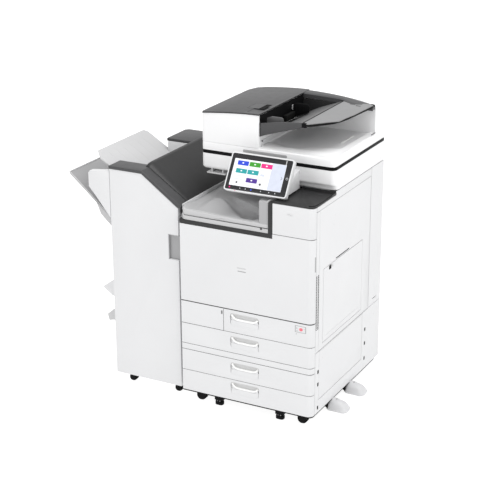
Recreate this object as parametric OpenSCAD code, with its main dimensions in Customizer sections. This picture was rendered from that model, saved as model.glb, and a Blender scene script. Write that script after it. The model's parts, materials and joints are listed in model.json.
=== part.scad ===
// Office copier: body on a feed cabinet, in-body output bay, document feeder and side finisher.
// Machine coordinates: x from the middle of the platen glass area, y from the front face, z from the floor.

/* [Copier body] */
// Width of the copier body
body_w = 594; // [590:1:598]
// Depth of the copier body
body_d = 685; // [685:1:700]
// Thickness of moulded covers
skin = 3; // [2.5:0.5:3.5]
// Corner radius of the front panels, seen from above
corner_r = 24; // [16:1:24]
// Corner radius beside the finisher
dock_r = 4; // [3:1:6]
// Gap between neighbouring panels
gap = 2; // [1:0.5:2]
// Depth of the front panels, which wrap round the corners
front_d = 26; // [25:1:28]

/* [Heights] */
// Underside of the feed cabinet
cabinet_z = 51; // [51:1:53]
// Joint between tray 4 and tray 3
tray_3_z = 144; // [143:1:145]
// Underside of the strip between cabinet and copier
strip_z = 237; // [236:1:238]
// Joint between the strip and tray 2
tray_2_z = 264; // [263:1:265]
// Joint between tray 2 and tray 1
tray_1_z = 354; // [353:1:355]
// Underside of the front door
door_z = 453; // [453:1:454]
// Underside of the dark trim round the output bay
trim_z = 785; // [784:1:786]
// Underside of the output tray
bay_z = 802; // [802:1:803]
// Top of the upper front cover
shelf_z = 930; // [930:1:931]
// Underside of the scanner beside the output bay
scanner_z = 965; // [965:1:966]
// Underside of the dark scanner top frame
seal_z = 1030; // [1030:1:1031]
// Underside of the document feeder
feeder_z = 1044; // [1044:1:1045]
// Top of the feeder's left block, under its cover
cover_z = 1194; // [1193:1:1195]
// Highest point of the feeder cover
top_z = 1218; // [1216:1:1220]

/* [Paper trays] */
// Left end of the handle recesses
handle_x0 = -72; // [-74:1:-70]
// Right end of the handle recesses
handle_x1 = 57; // [55:1:59]
// Height of a handle recess
handle_h = 50; // [48:1:50]
// Half of the width inside the paper trays
tray_half = 262; // [258:1:262]
// How far a paper tray reaches back
tray_back = 430; // [400:1:440]

/* [Finisher] */
// Left side of the finisher
fin_x0 = -640; // [-642:1:-638]
// Right side of the finisher
fin_x1 = -315; // [-317:1:-313]
// Front face of the finisher
fin_y0 = 20; // [20:1:22]
// Back face of the finisher
fin_y1 = 650; // [640:1:660]
// Underside of the finisher
fin_z0 = 41; // [41:1:43]
// Top of the finisher's white front
fin_z1 = 958; // [956:1:960]
// Where the top starts to slope down towards the copier
slope_x = -486; // [-490:1:-482]
// Height of the sloping edge at the right side
slope_z = 838; // [836:1:840]
// Tip of the shift tray, the leftmost point
shift_tip_x = -893; // [-900:1:-880]

/* [Operation panel] */
// Width of the panel
panel_w = 271; // [268:1:274]
// Length of the panel from its lower to its upper edge
panel_l = 156; // [152:1:160]
// Angle by which the panel leans back
panel_lean = 32; // [30:1:34]

/* [Feet] */
// Rightmost point of the anti-tip feet
shoe_x1 = 366; // [362:1:370]
// Wheel radius of the cabinet casters
wheel_r = 25; // [24:0.5:25]
// Wheel radius of the finisher casters
fin_wheel_r = 17; // [16:0.5:17]

/* [Hidden] */
$fn = 64;
right_x = 293.5;
left_x = right_x - body_w;
top_x = left_x + 3.5;
bay_x = 97;
scan_y0 = 185;
scan_y1 = 680;
mid_x = (shift_tip_x + shoe_x1) / 2;
mid_y = body_d / 2;
eps = 0.01;
lift = 0.5;
rear_gap = 3.5;
side_in = right_x - skin;
left_in = left_x + skin;
bay_back = 478;
split_x = 116;
panel_x = -109;
panel_y = 20;
panel_z = 948;
pivot_y = 28;
pivot_z = 35;
shoe_pitch = 178;
shoe_y = 206;
engine_z = 448;
way_y0 = 120;
way_y1 = 460;
way_z0 = 698;
way_z1 = 732;
dock_y0 = 150;
dock_y1 = 540;
fold_x = 151;
fold_z = 1204;
nose_x = -302;
block_x = -36;
dip_r = 230;
trough_back = 590;
cover_lip = 5;
cover_back = 648;
seam = 0.2;
bottle_pitch = 70;
recess_z0 = 612;
recess_z1 = 720;
outlet_y0 = 104;
outlet_y1 = 488;

white = "whitesmoke";
dark = [0.25, 0.25, 0.26];
grey = [0.72, 0.72, 0.73];
steel = [0.62, 0.64, 0.66];
black = [0.08, 0.08, 0.08];

// ---------------------------------------------------------------- shared shapes

// Moves machine coordinates to the middle of the object's footprint
module place() translate([-mid_x, -mid_y, 0]) children();

// Box between its lowest and highest corners
module block(low, high) translate(low) cube(high - low);

// Rectangle between two corners, with round corners
module round_rect(low, high, r) {
  translate([low[0] + r, low[1]]) square([high[0] - low[0] - 2 * r, high[1] - low[1]]);
  translate([low[0], low[1] + r]) square([high[0] - low[0], high[1] - low[1] - 2 * r]);
  for (x = [low[0] + r, high[0] - r], y = [low[1] + r, high[1] - r])
    translate([x, y]) circle(r);
}

// Quarter disc of a front corner: side -1 for the left corner, 1 for the right one
module quarter(r, side) intersection() {
  circle(r);
  translate([side < 0 ? -r : -eps, -r]) square([r + eps, r + eps]);
}

// Plan of a panel whose front corners are round: left radius rl, right radius rr
module front_plan(x0, x1, y0, y1, rl, rr) {
  r = max(rl, rr);
  translate([x0 + rl, y0]) square([x1 - x0 - rl - rr, r + eps]);
  translate([x0, y0 + r]) square([x1 - x0, y1 - y0 - r]);
  if (rl > 0) {
    translate([x0 + rl, y0 + rl]) quarter(rl, -1);
    translate([x0, y0 + rl]) square([rl, r - rl + eps]);
  }
  if (rr > 0) {
    translate([x1 - rr, y0 + rr]) quarter(rr, 1);
    translate([x1 - rr, y0 + rr]) square([rr, r - rr + eps]);
  }
}

// Solid panel over a front plan
module front_solid(x0, x1, y0, y1, z0, z1, rl, rr)
  translate([0, 0, z0]) linear_extrude(z1 - z0) front_plan(x0, x1, y0, y1, rl, rr);

// Panel as a shell, open at the back
module front_shell(x0, x1, z0, z1, depth, rl, rr)
  difference() {
    front_solid(x0, x1, 0, depth, z0, z1, rl, rr);
    front_solid(x0 + skin, x1 - skin, skin, depth + 1, z0 + skin, z1 - skin,
                max(0, rl - skin), max(0, rr - skin));
  }

// Outline in the XZ plane, extruded from y0 to y1
module along_y(y0, y1)
  translate([0, y1, 0]) rotate([90, 0, 0]) linear_extrude(y1 - y0) children();

// Cylinder along X or along Y
module rod_x(x0, x1, y, z, r) translate([x0, y, z]) rotate([0, 90, 0]) cylinder(r = r, h = x1 - x0);
module rod_y(x, y0, y1, z, r) translate([x, y1, z]) rotate([90, 0, 0]) cylinder(r = r, h = y1 - y0);

// ---------------------------------------------------------------- copier structure

// Rear caster bracket: a plate with a slot, open below, that the axle sits in
module axle_bracket(x, y, axle_z, top_z)
  difference() {
    block([x - 2, y - 14, axle_z - 9], [x + 2, y + 14, top_z]);
    block([x - 3, y - 5.4, axle_z - 10], [x + 3, y + 5.4, axle_z + 6]);
  }

// Plates and posts of the frame, a hair apart where they are screwed together
module base_frame() place() color(steel) {
  wall_r = side_in - 3;
  wall_l = left_in + 3;
  inner_l = wall_l + 3 + seam;
  floor_top = cabinet_z + 4 + seam;
  back_y = 640 - seam;
  // Floor plate and rear wall
  block([wall_l, front_d + 2, cabinet_z], [wall_r, 676, cabinet_z + 4]);
  block([wall_l, 640, floor_top], [wall_r, 643, scanner_z - 25]);
  // Left wall round the paper way to the finisher
  block([wall_l, 36, floor_top], [wall_l + 3, back_y, way_z0 - seam]);
  block([wall_l, 36, way_z0], [wall_l + 3, way_y0, trim_z - 5]);
  block([wall_l, way_y1, way_z0], [wall_l + 3, back_y, trim_z - 5]);
  block([wall_l, way_y0 + seam, way_z1], [wall_l + 3, way_y1 - seam, trim_z - 5]);
  // Corner posts
  block([264, 36, floor_top], [wall_r - 3, 54, shelf_z - 5]);
  block([264, 600, floor_top], [wall_r, back_y, scanner_z - 20]);
  block([inner_l, 600, floor_top], [wall_l + 40, back_y, scanner_z - 0.5]);
  // Engine floor, bay floor, wall beside the bay and scanner support
  block([inner_l, 56, engine_z - 4], [264 - seam, 600 - seam, engine_z]);
  block([wall_l, 28, trim_z + 3], [bay_x + 6 - seam, 600 - seam, trim_z + 6]);
  block([bay_x + 6, 28, trim_z - 20], [bay_x + 12, back_y, shelf_z - 5]);
  block([bay_x + 6, 210, scanner_z - 25 + seam], [264 - seam, 643, scanner_z - 21]);
  // Rails and guides of the paper trays
  block([-108, 40, tray_1_z + 2], [-104, tray_back, engine_z - 4 - seam]);
  block([tray_half - 12, 40, tray_1_z + 4], [264 - seam, back_y, tray_1_z + 7]);
  for (z = [tray_2_z + 4, tray_3_z + 4]) {
    block([inner_l, 40, z], [wall_l + 26, 600 - seam, z + 3]);
    block([tray_half - 12, 54 + seam, z], [tray_half + 14, 600 - seam, z + 3]);
  }
  for (x = [-218, 218]) axle_bracket(x, 600, wheel_r + lift, cabinet_z - seam);
}

module left_cover() place() color(white)
  difference() {
    union() {
      block([left_x, front_d + gap, cabinet_z + 1], [left_in, body_d - rear_gap, 856]);
      block([left_x, bay_back + 6, 800], [left_in, body_d - rear_gap, scanner_z - gap]);
    }
    block([left_x - 1, way_y0, way_z0], [left_in + 1, way_y1, way_z1]);
  }

module rear_cover() place() color(white)
  difference() {
    block([left_x, body_d - skin, cabinet_z + 1], [right_x, body_d, scanner_z - 20]);
    for (i = [0:9], x = [-200, 60])
      block([x, body_d - skin - 1, 560 + i * 16], [x + 130, body_d + 1, 567 + i * 16]);
    block([183, body_d - skin - 1, 96], [241, body_d + 1, 132]);
  }

module right_side_covers() place() color(white) {
  // Vent post beside the front panels
  difference() {
    block([side_in, front_d + gap, 322], [right_x, 53, 909]);
    for (i = [0:32], y = [29, 44.5])
      block([side_in - 1, y, 420 + i * 7], [right_x + 1, y + 7, 424 + i * 7]);
  }
  // Strip over the door, lower beside the work shelf, and rear column
  block([side_in, front_d + gap, 911], [right_x, 206, shelf_z - 1]);
  block([side_in, 205, 911], [right_x, 553.5, scanner_z - 21]);
  difference() {
    block([side_in, 556.5, 322], [right_x, body_d - rear_gap, scanner_z - 21]);
    block([side_in - 1, 600, 345], [right_x + 1, 640, 349]);
  }
  // Cabinet side with the lower door's opening and bracket holes
  difference() {
    block([side_in, front_d + gap, cabinet_z + 1], [right_x, body_d - rear_gap, 320]);
    block([side_in - 1, 66 - gap, 107 - gap], [right_x + 1, 494 + gap, 321]);
    for (z = [66, 169, 224]) block([side_in - 1, 51, z], [right_x + 1, 61, z + 16]);
    for (z = [91, 161, 226]) block([side_in - 1, 522, z], [right_x + 1, 532, z + 16]);
  }
  block([side_in, 66 - gap, 317.5], [right_x, 494 + gap, 320]);
}

module front_panels() place() color(white) {
  front_shell(left_x, -103.5, tray_1_z + gap / 2, door_z - gap, front_d, dock_r, 0);
  front_shell(left_x, right_x, strip_z + gap / 2, tray_2_z - gap / 2, front_d, dock_r, corner_r);
  front_shell(split_x + 1, right_x, 805, shelf_z - 1, front_d, 0, corner_r);
}

module work_shelf() place() color(dark) {
  translate([0, 0, shelf_z]) linear_extrude(5)
    front_plan(split_x, right_x - 0.5, 1, 204, 0, corner_r - 2);
  // Raised rim along the scanner and the right edge
  block([150, 199, shelf_z + 4], [side_in - 1, 204, shelf_z + 13]);
  block([side_in - 2, 160, shelf_z + 4], [right_x - 0.5, 204, shelf_z + 10]);
}

module exit_trim() place() color(dark) {
  front_solid(left_x, split_x, 0, corner_r + 1, trim_z + 0.5, bay_z - 0.5, dock_r, 0);
  block([bay_x + 0.5, 0, bay_z - 0.6], [split_x, corner_r + 1, shelf_z - 0.5]);
}

module exit_tray() place() color(grey) {
  floor_z = bay_z + 40;
  difference() {
    union() {
      front_solid(left_in, bay_x - 0.5, 2, bay_back, bay_z, floor_z, 14, 0);
      // Curb along the left side, then the back and right lining of the bay
      along_y(26, bay_back) polygon([[left_in, floor_z - 4], [left_in + 24, floor_z - 4],
        [left_in + 6, floor_z + 14], [left_in, floor_z + 14]]);
      block([left_in, bay_back - 3, bay_z], [bay_x - 0.5, bay_back, scanner_z - 3]);
      block([bay_x - 5, 4, bay_z], [bay_x - 0.5, bay_back, shelf_z + 4]);
      // Pillar at the front of the right lining
      block([52, 4, floor_z - 4], [bay_x - 0.5, 58, shelf_z - 2]);
    }
    block([left_in + 4, 6, bay_z - 1], [bay_x - 5, bay_back - 4, floor_z - 12]);
    // Valley across the tray, which lets a hand get under the sheets
    translate([-20, 40, floor_z + 62]) rotate([-90, 0, 0]) cylinder(r = 70, h = 360);
    // Slot that sheets come out of
    block([bay_x - 8, 90, 868], [bay_x + 1, 430, 896]);
    block([60, 3, 858], [68, 7, 866]);
  }
}

module toner_bottle(x) {
  rod_y(x, 70, 500, 728, 31);
  rod_y(x, 50, 70.5, 728, 24);
}

module toner_bottles() place()
  for (i = [0:3]) color(["gold", "magenta", "cyan", [0.1, 0.1, 0.1]][i]) toner_bottle(-222 + i * bottle_pitch);

module imaging_unit() place() {
  // Transfer belt as a closed loop over two rollers
  color([0.15, 0.15, 0.16]) along_y(70, 420) difference() {
    round_rect([-240, 630], [60, 674], 21.5);
    round_rect([-238.5, 631.5], [58.5, 672.5], 20);
  }
  color(steel) for (x = [-217.5, 37.5]) rod_y(x, 66, 424, 652, 19.5);
  color([0.2, 0.4, 0.3]) for (i = [0:3]) rod_y(-210 + i * bottle_pitch, 70, 420, 602, 20);
  color(dark) block([-260, 70, 470], [60, 500, 560]);
}

module fuser_unit() place() color(dark) difference() {
  block([150, 90, 640], [246, 460, 770]);
  block([188, 89, 650], [208, 461, 771]);
}

module leveling_feet() place() color(black) {
  for (p = [[-143, 24], [138, 24], [-150, 520], [150, 520]]) translate(p) {
    cylinder(r = 16, h = 14);
    cylinder(r = 9, h = cabinet_z);
    block([-19, -12, 20], [19, 12, 42]);
  }
  for (p = [[-600, 300], [-400, 300], [-480, 600]]) translate(p) {
    cylinder(r = 15, h = 8);
    cylinder(r = 6, h = fin_z0);
  }
}

// Anti-tip foot: a low rounded shoe on a pad, carried by an arm from the cabinet
module stabilizer_foot() {
  color(grey) intersection() {
    along_y(-50, 50) polygon([[280, 5], [shoe_x1 - 2, 5], [shoe_x1, 16], [shoe_x1 - 12, 27],
      [334, 42], [304, 46], [283, 40]]);
    difference() {
      linear_extrude(60) round_rect([280, -33], [shoe_x1, 33], 26);
      translate([312, 0, 36]) cylinder(r = 3.5, h = 20);
    }
  }
  color(black) {
    translate([338, 0, 0]) cylinder(r = 22, h = 5);
    block([256, -10, 24], [280, 10, 30]);
    block([252, -10, 24], [257, 10, cabinet_z]);
  }
}

module stabilizer_feet() place()
  for (i = [0, 1]) translate([0, shoe_y + i * shoe_pitch, 0]) stabilizer_foot();

module power_inlet() place() color(black) difference() {
  block([184, body_d - 32, 97], [240, body_d - 1, 131]);
  along_y(body_d - 22, body_d) round_rect([192, 103], [232, 125], 4);
}

// ---------------------------------------------------------------- paper trays

// Front of a paper tray with its handle recess; x0 and rl shape the left end
module tray_front(x0, z0, z1, handle_z, rl) color(white) {
  difference() {
    union() {
      front_shell(x0, right_x, z0, z1, front_d, rl, corner_r);
      along_y(1, 28) round_rect([handle_x0 - 5, handle_z - 4], [handle_x1 + 5, handle_z + handle_h + 3], 12);
    }
    along_y(-1, 24) round_rect([handle_x0, handle_z], [handle_x1, handle_z + handle_h], 10);
  }
  // Grip lip across the lower half of the recess, lower in its middle
  difference() {
    along_y(1, 5) round_rect([handle_x0 + 2, handle_z - 1], [handle_x1 - 2, handle_z + 31], 8);
    rod_y((handle_x0 + handle_x1) / 2, 0, 6, handle_z + 23 + dip_r, dip_r);
  }
}

// Open box that holds the paper, and the lift plate in it
module tray_box(x0, z0, z1) color(grey) {
  difference() {
    block([x0, 34, z0], [tray_half, tray_back, z1]);
    block([x0 + 3, 37, z0 + 3], [tray_half - 3, tray_back - 3, z1 + 1]);
  }
  block([x0 + 40, 60, z0 + 3 + seam], [tray_half - 40, tray_back - 60, z0 + 8]);
}

module tray_1_front() place() tray_front(-101.5, tray_1_z + gap / 2, door_z - gap, 388, 0);
module tray_2_front() place() tray_front(left_x, tray_2_z + gap / 2, tray_1_z - gap / 2, 288, dock_r);
module tray_3_front() place() tray_front(left_x, tray_3_z + gap / 2, strip_z - gap / 2, 171, dock_r);
module tray_4_front() place() tray_front(left_x, cabinet_z + 1, tray_3_z - gap / 2, 84, dock_r);

module tray_1_box() place() tray_box(-98, tray_1_z + 8, 438);
module tray_2_box() place() tray_box(-tray_half, tray_2_z + 8, 345);
module tray_3_box() place() tray_box(-tray_half, tray_3_z + 8, 228);
module tray_4_box() place() tray_box(-tray_half, cabinet_z + 6, 136);

// ---------------------------------------------------------------- copier doors

module front_door() place() color(white) difference() {
  front_shell(left_x, right_x, door_z + gap, 803, front_d, dock_r, corner_r);
  block([left_x - 1, -1, trim_z - 1], [split_x, front_d + 1, 804]);
}

module right_door() place() color(white) difference() {
  block([268, 55, 322], [right_x, 553, 909]);
  block([267, 60, 327], [side_in, 548, 904]);
  // Window for the bypass tray and slots above it
  block([side_in - 8, 96 - gap, 345 - gap], [right_x + 1, 476 + gap, 656 + gap]);
  block([side_in + 1, 212, 662], [right_x + 1, 339, 666]);
}

module bypass_tray() place() color(white) {
  difference() {
    block([282, 96, 345], [right_x, 476, 656]);
    block([281, 100, 349], [side_in, 472, 652]);
    block([right_x - 1, 118, 366], [right_x + 1, 448, 368]);
  }
  color(dark) block([side_in - 6, 154, 646], [side_in, 192, 652.5]);
}

module lower_right_door() place() color(white) difference() {
  block([279, 66, 107], [right_x, 494, 316]);
  block([278, 70, 111], [side_in, 490, 312]);
}

// ---------------------------------------------------------------- scanner

module scanner_housing() place() color(white) {
  difference() {
    union() {
      front_solid(top_x, right_x, scan_y0, scan_y1, scanner_z, seal_z - 0.5, 16, corner_r);
      front_solid(bay_x + 4, right_x, 206, scan_y1, scanner_z - 19, scanner_z + 1, 0, corner_r);
    }
    block([top_x + 6, scan_y0 + 8, scanner_z + 4], [right_x - 6, scan_y1 - 6, seal_z]);
    block([bay_x + 9, 214, scanner_z - 20], [right_x - 6, scan_y1 - 6, scanner_z]);
  }
  // Rails for the scan carriage
  for (y = [226, 640]) rod_x(top_x + 6 - eps, right_x - 6 + eps, y, scanner_z + 11, 4);
  // Light guide rib under the scanner's left end
  block([-278, 188, 945], [-191, 250, 950]);
  for (x = [-262, -212]) block([x, 200, 949], [x + 6, 240, scanner_z + 1]);
}

module scanner_top_frame() place() color(dark) difference() {
  front_solid(top_x, right_x, scan_y0, scan_y1, seal_z, seal_z + 12, 16, corner_r);
  block([-216, 241, seal_z - 1], [212, 534, seal_z + 13]);
  block([-222.3, 234.7, seal_z + 6], [218.3, 540.3, seal_z + 13]);
  block([-262, 241, seal_z - 1], [-246, 534, seal_z + 13]);
  block([-266.3, 234.7, seal_z + 6], [-241.7, 540.3, seal_z + 13]);
}

module platen_glass() place() color([0.75, 0.85, 0.88, 0.5]) {
  block([-222, 235, seal_z + 6], [218, 540, seal_z + 10]);
  block([-266, 235, seal_z + 6], [-242, 540, seal_z + 10]);
}

module scan_carriage() place() color(dark) {
  difference() {
    block([-274, 216, scanner_z + 6], [-238, 650, scanner_z + 58]);
    for (y = [226, 640]) block([-275, y - 5, scanner_z + 5], [-237, y + 5, scanner_z + 16]);
  }
  color("lightyellow") block([-262, 240, scanner_z + 58], [-250, 530, scanner_z + 61]);
}

// ---------------------------------------------------------------- document feeder

// Arched line of the feeder cover, lowered by drop
function arch(drop) = [for (u = [0:0.1:1])
  [top_x + u * (block_x - top_x), cover_z + 6 - drop + (top_z - cover_z - 6) * sin(90 * u)]];

module feeder_body() place() color(white) difference() {
  union() {
    front_solid(top_x, right_x, scan_y0, scan_y1, feeder_z, feeder_z + 36, 16, corner_r);
    intersection() {
      front_solid(top_x, block_x, scan_y0, scan_y1, feeder_z + 35, top_z, 16, 12);
      union() {
        along_y(scan_y0 - 1, cover_back - 4)
          polygon(concat([[block_x, feeder_z + 35], [top_x, feeder_z + 35]], arch(cover_lip + 1)));
        block([top_x, cover_back - 5, feeder_z + 35], [block_x, scan_y1, cover_z - 1]);
      }
    }
    block([block_x - 1, trough_back, feeder_z + 35], [290, scan_y1, cover_z - 1]);
  }
  block([top_x + 4, scan_y0 + 4, feeder_z - 1], [right_x - 4, scan_y1 - 4, feeder_z + 32]);
  block([top_x + 7, scan_y0 + 7, feeder_z + 20], [block_x - 4, scan_y1 - 7, top_z]);
  block([-30, trough_back + 4, feeder_z + 20], [286, scan_y1 - 4, cover_z - 5]);
  // Slots for originals going in and coming out
  block([-48, 232, feeder_z + 44], [-30, 538, feeder_z + 56]);
  block([-48, 215, feeder_z + 98], [-30, 540, feeder_z + 130]);
  // Grip notch in the lower front edge
  block([-108, scan_y0 - 1, feeder_z + 11], [87, scan_y0 + 5, feeder_z + 23]);
}

// Top cover: a thin shell with a gently arched back
module feeder_cover() place() color(dark) difference() {
  intersection() {
    along_y(scan_y0 - 2, cover_back + 2)
      polygon(concat(arch(0), [for (p = [10:-1:0]) arch(cover_lip)[p]]));
    linear_extrude(1300) union() {
      front_plan(top_x, block_x, scan_y0 - 2, 400, 16, 0);
      mirror([0, 1, 0]) front_plan(top_x, block_x, -cover_back, -390, 70, 0);
    }
  }
  // Latch slot
  block([-100, 205, top_z - 3.5], [-44, 300, top_z + 1]);
}

// Floor of the input tray: it rises to the fold at fold_x and is nearly level beyond it
function floor_at(x) = x < fold_x ? fold_z - (fold_x - x) * 0.3676 : fold_z + (x - fold_x) * 0.01;

module feeder_input_tray() place() color(dark) {
  intersection() {
    along_y(180, 600) polygon([[-34, 1128], [fold_x, 1186], [290, 1196],
      [290, floor_at(290)], [fold_x, floor_at(fold_x)], [-34, floor_at(-34)]]);
    linear_extrude(1300) polygon([[-34, 188], [172, 188], [191, 203], [226, 243], [259, 298], [273, 362],
      [277, 471], [286, 560], [289, trough_back - 0.5], [-34, trough_back - 0.5]]);
  }
  // Front wall of the trough
  along_y(188, 192) polygon([[-34, 1128], [fold_x, 1186], [fold_x, 1208], [-34, 1182]]);
  // Lining of the trough's back and of its left end, with the mouth that originals go in through
  along_y(trough_back - 4, trough_back - 0.5)
    polygon([[-35.5, 1128], [fold_x, 1190], [fold_x, cover_z - 0.5], [-35.5, cover_z - 0.5]]);
  difference() {
    block([-35.5, 188, 1128], [-31.5, trough_back - 0.5, cover_z - 0.5]);
    block([-36, 215, 1142], [-31, 538, 1174]);
  }
  // Rail along the back, falling towards its right end
  intersection() {
    along_y(530, 655)
      polygon([[-35.5, cover_z - 0.5], [289, cover_z - 0.5], [289, 1200], [-35.5, top_z - 1]]);
    linear_extrude(1300) polygon([[-35.5, trough_back - 4], [140, trough_back - 6], [195, 557], [240, 541],
      [289, 552], [289, 584], [240, 606], [214, 614], [165, 627], [116, 638], [60, 647], [-35.5, 650]]);
  }
}

// Side guide that stands just above the sloping floor, with its foot reaching inwards to foot_y
module paper_guide(y, foot_y) color([0.33, 0.33, 0.34]) {
  rise = 0.7;
  x0 = -28;
  x1 = 46;
  z0 = floor_at(x0) + rise;
  z1 = floor_at(x1) + rise;
  along_y(y, y + 4) intersection() {
    polygon([[x0, z0], [x1, z1], [x1, 1205], [x0 + 26, 1200], [x0, 1191]]);
    round_rect([x0, 1100], [x1, 1202], 12);
  }
  along_y(min(y, foot_y), max(y + 4, foot_y)) polygon([[x0, z0], [x1, z1], [x1, z1 + 3], [x0, z0 + 3]]);
}

module front_paper_guide() place() paper_guide(236, 262);
module rear_paper_guide() place() paper_guide(470, 448);

module feed_roller() place() {
  color(steel) rod_y(-90, 194, 670, 1150, 4);
  color([0.3, 0.3, 0.3]) difference() {
    rod_y(-90, 330, 400, 1150, 12);
    rod_y(-90, 329, 401, 1150, 4);
  }
}

module platen_pad() place() {
  color(white) block([-219, 238, feeder_z - 3.4], [215, 537, feeder_z + 0.1]);
  color(white) block([top_x + 4.5, scan_y0 + 4.5, feeder_z], [right_x - 4.5, scan_y1 - 4.5, feeder_z + 3]);
  color(steel) for (x = [0, 260], y = [230, 620]) translate([x, y, feeder_z + 2.9]) cylinder(r = 5, h = 29.1);
}

// ---------------------------------------------------------------- operation panel

// Panel coordinates: x along the width, y into the thickness, z up the face
module at_panel() place() translate([panel_x, panel_y, panel_z]) rotate([-panel_lean, 0, 0]) children();

module panel_housing() at_panel() {
  color(white) difference() {
    along_y(0, 20) round_rect([0, 0], [panel_w, panel_l], 10);
    along_y(-1, 3) round_rect([4.5, 4.5], [panel_w - 4.5, panel_l - 4.5], 6.5);
    rod_y(panel_w - 14, 2, 9, panel_l / 2, 6);
  }
  // Hinge barrel, its web and the pin
  color(dark) {
    block([150, 19.9, pivot_z - 5], [222, pivot_y, pivot_z + 5]);
    rod_x(150, 222, pivot_y, pivot_z, 7);
    rod_x(136, 236, pivot_y, pivot_z, 4);
  }
}

module panel_screen() at_panel() color(black) difference() {
  along_y(0.4, 3) round_rect([5, 5], [panel_w - 5, panel_l - 5], 6);
  rod_y(panel_w - 14, -1, 4, panel_l / 2, 5.6);
}

module power_button() at_panel() color([0.2, 0.2, 0.2]) rod_y(panel_w - 14, 0, 6.5, panel_l / 2, 5.3);

// Pivot of the panel in machine coordinates
pivot = [panel_y + pivot_y * cos(panel_lean) + pivot_z * sin(panel_lean),
         panel_z - pivot_y * sin(panel_lean) + pivot_z * cos(panel_lean)];

module panel_arm() place() color(white) {
  translate([22, 0, 0]) rotate([90, 0, 90]) linear_extrude(122)
    polygon([[84, 941], [184.5, 941], [184.5, 1018], [150, 1010], [84, 968]]);
  for (x = [panel_x + 140, panel_x + 224]) difference() {
    union() {
      rod_x(x, x + 8, pivot[0], pivot[1], 7);
      block([x, pivot[0], pivot[1] - 6], [x + 8, 84.5, pivot[1] + 5]);
    }
    rod_x(x - 1, x + 9, pivot[0], pivot[1], 4.06);
  }
}

// ---------------------------------------------------------------- finisher

// Outline of the finisher's front, shrunk by s on every side
function front_outline(s) = [[fin_x0 + 2 + s, fin_z0 + 7 + s], [fin_x1 - 2 - s, fin_z0 + 7 + s],
  [fin_x1 - 2 - s, slope_z - 3 - s * 1.3], [slope_x - s * 0.3, fin_z1 - 1 - s], [fin_x0 + 2 + s, fin_z1 - 1 - s]];

module finisher_door() place() color(white) difference() {
  union() {
    difference() {
      along_y(fin_y0, fin_y0 + 20) polygon(front_outline(0));
      along_y(fin_y0 + skin, fin_y0 + 21) polygon(front_outline(skin));
    }
    block([fin_x1 - 53, fin_y0 + 1, recess_z0 - 3], [fin_x1 - 2, fin_y0 + 16, recess_z1 + 3]);
  }
  // Round right edge and the grey finger recess in it
  translate([fin_x1 - 2, fin_y0, 0]) difference() {
    block([-2.5, -1, fin_z0], [1, 2.5, fin_z1]);
    translate([-2.5, 2.5, fin_z0]) cylinder(r = 2.5, h = fin_z1);
  }
  block([fin_x1 - 50, fin_y0 - 1, recess_z0], [fin_x1, fin_y0 + 12, recess_z1]);
}

// Plates and posts of the finisher's frame, a hair apart where they are screwed together
module finisher_frame() place() color(steel) {
  shelf = 480;
  block([fin_x0 + 4, 44, fin_z0], [fin_x1 - 4, fin_y1 - 5, fin_z0 + 4]);
  block([fin_x0 + 5, 46, shelf], [fin_x1 - 5, fin_y1 - 7, shelf + 4]);
  for (x = [fin_x0 + 5, fin_x1 - 25], y = [46, fin_y1 - 27]) {
    block([x, y, fin_z0 + 4 + seam], [x + 20, y + 20, shelf - seam]);
    block([x, y, shelf + 4 + seam], [x + 20, y + 20, x < -400 ? 790 : 800]);
  }
  // Docking plates and the brackets that reach into the copier's side
  block([fin_x1 - 10, dock_y0, fin_z0 + 4 + seam], [fin_x1 - 6, dock_y1, shelf - seam]);
  block([fin_x1 - 10, dock_y0, shelf + 4 + seam], [fin_x1 - 6, dock_y1, 670]);
  for (y = [dock_y0, dock_y1 - 60], z = [200, 640])
    block([fin_x1 - 6 + seam, y, z], [left_x, y + 60, z + 24]);
  for (x = [-557, -376]) axle_bracket(x, 560, fin_wheel_r + lift, fin_z0 - seam);
}

// Side and rear panels of the finisher with the paper outlets, the wing and the booklet hood
module finisher_shell() place() color(white) {
  y0 = fin_y0 + 22;
  back = fin_y1 - skin;
  edge = fin_x0 - seam;
  difference() {
    block([fin_x0, y0, fin_z0 + 7], [fin_x0 + skin, back - seam, 930]);
    block([fin_x0 - 1, outlet_y0, 842], [fin_x0 + 5, outlet_y1, 931]);
    block([fin_x0 - 1, 104, 690], [fin_x0 + 5, 536, 790]);
    block([fin_x0 - 1, 130, 380], [fin_x0 + 5, 470, 420]);
  }
  difference() {
    block([fin_x1 - skin, y0, fin_z0 + 7], [fin_x1, back - seam, 806]);
    block([fin_x1 - 5, way_y0, way_z0 - 8], [fin_x1 + 1, way_y1, way_z1 + 3]);
    for (y = [dock_y0, dock_y1 - 60], z = [200, 640])
      block([fin_x1 - 5, y - 1, z - 1], [fin_x1 + 1, y + 61, z + 25]);
  }
  along_y(back, fin_y1) polygon([[fin_x1, fin_z0 + 7], [fin_x0, fin_z0 + 7], [fin_x0, 930], [slope_x - 3, 930],
    [fin_x1, 806]]);
  // Inner walls that carry the caps
  for (y = [outlet_y0, outlet_y1 - 4])
    block([fin_x0 + skin + seam, y, 880], [slope_x - 16, y + 4, fin_z1 - seam]);
  // Wing beside the trays
  along_y(fin_y0, 46) polygon([[edge, 745], [edge, 948], [-735, 936], [-742, 926], [-742, 868], [-708, 830]]);
  // Hood over the booklet outlet
  difference() {
    along_y(118, 482) polygon([[edge, 352], [edge, 450], [-706, 423], [-757, 386], [-752, 378], [-709, 350]]);
    along_y(124, 476) polygon([[edge + 1, 340], [edge + 1, 440], [-704, 414], [-744, 384], [-704, 340]]);
  }
}

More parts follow.
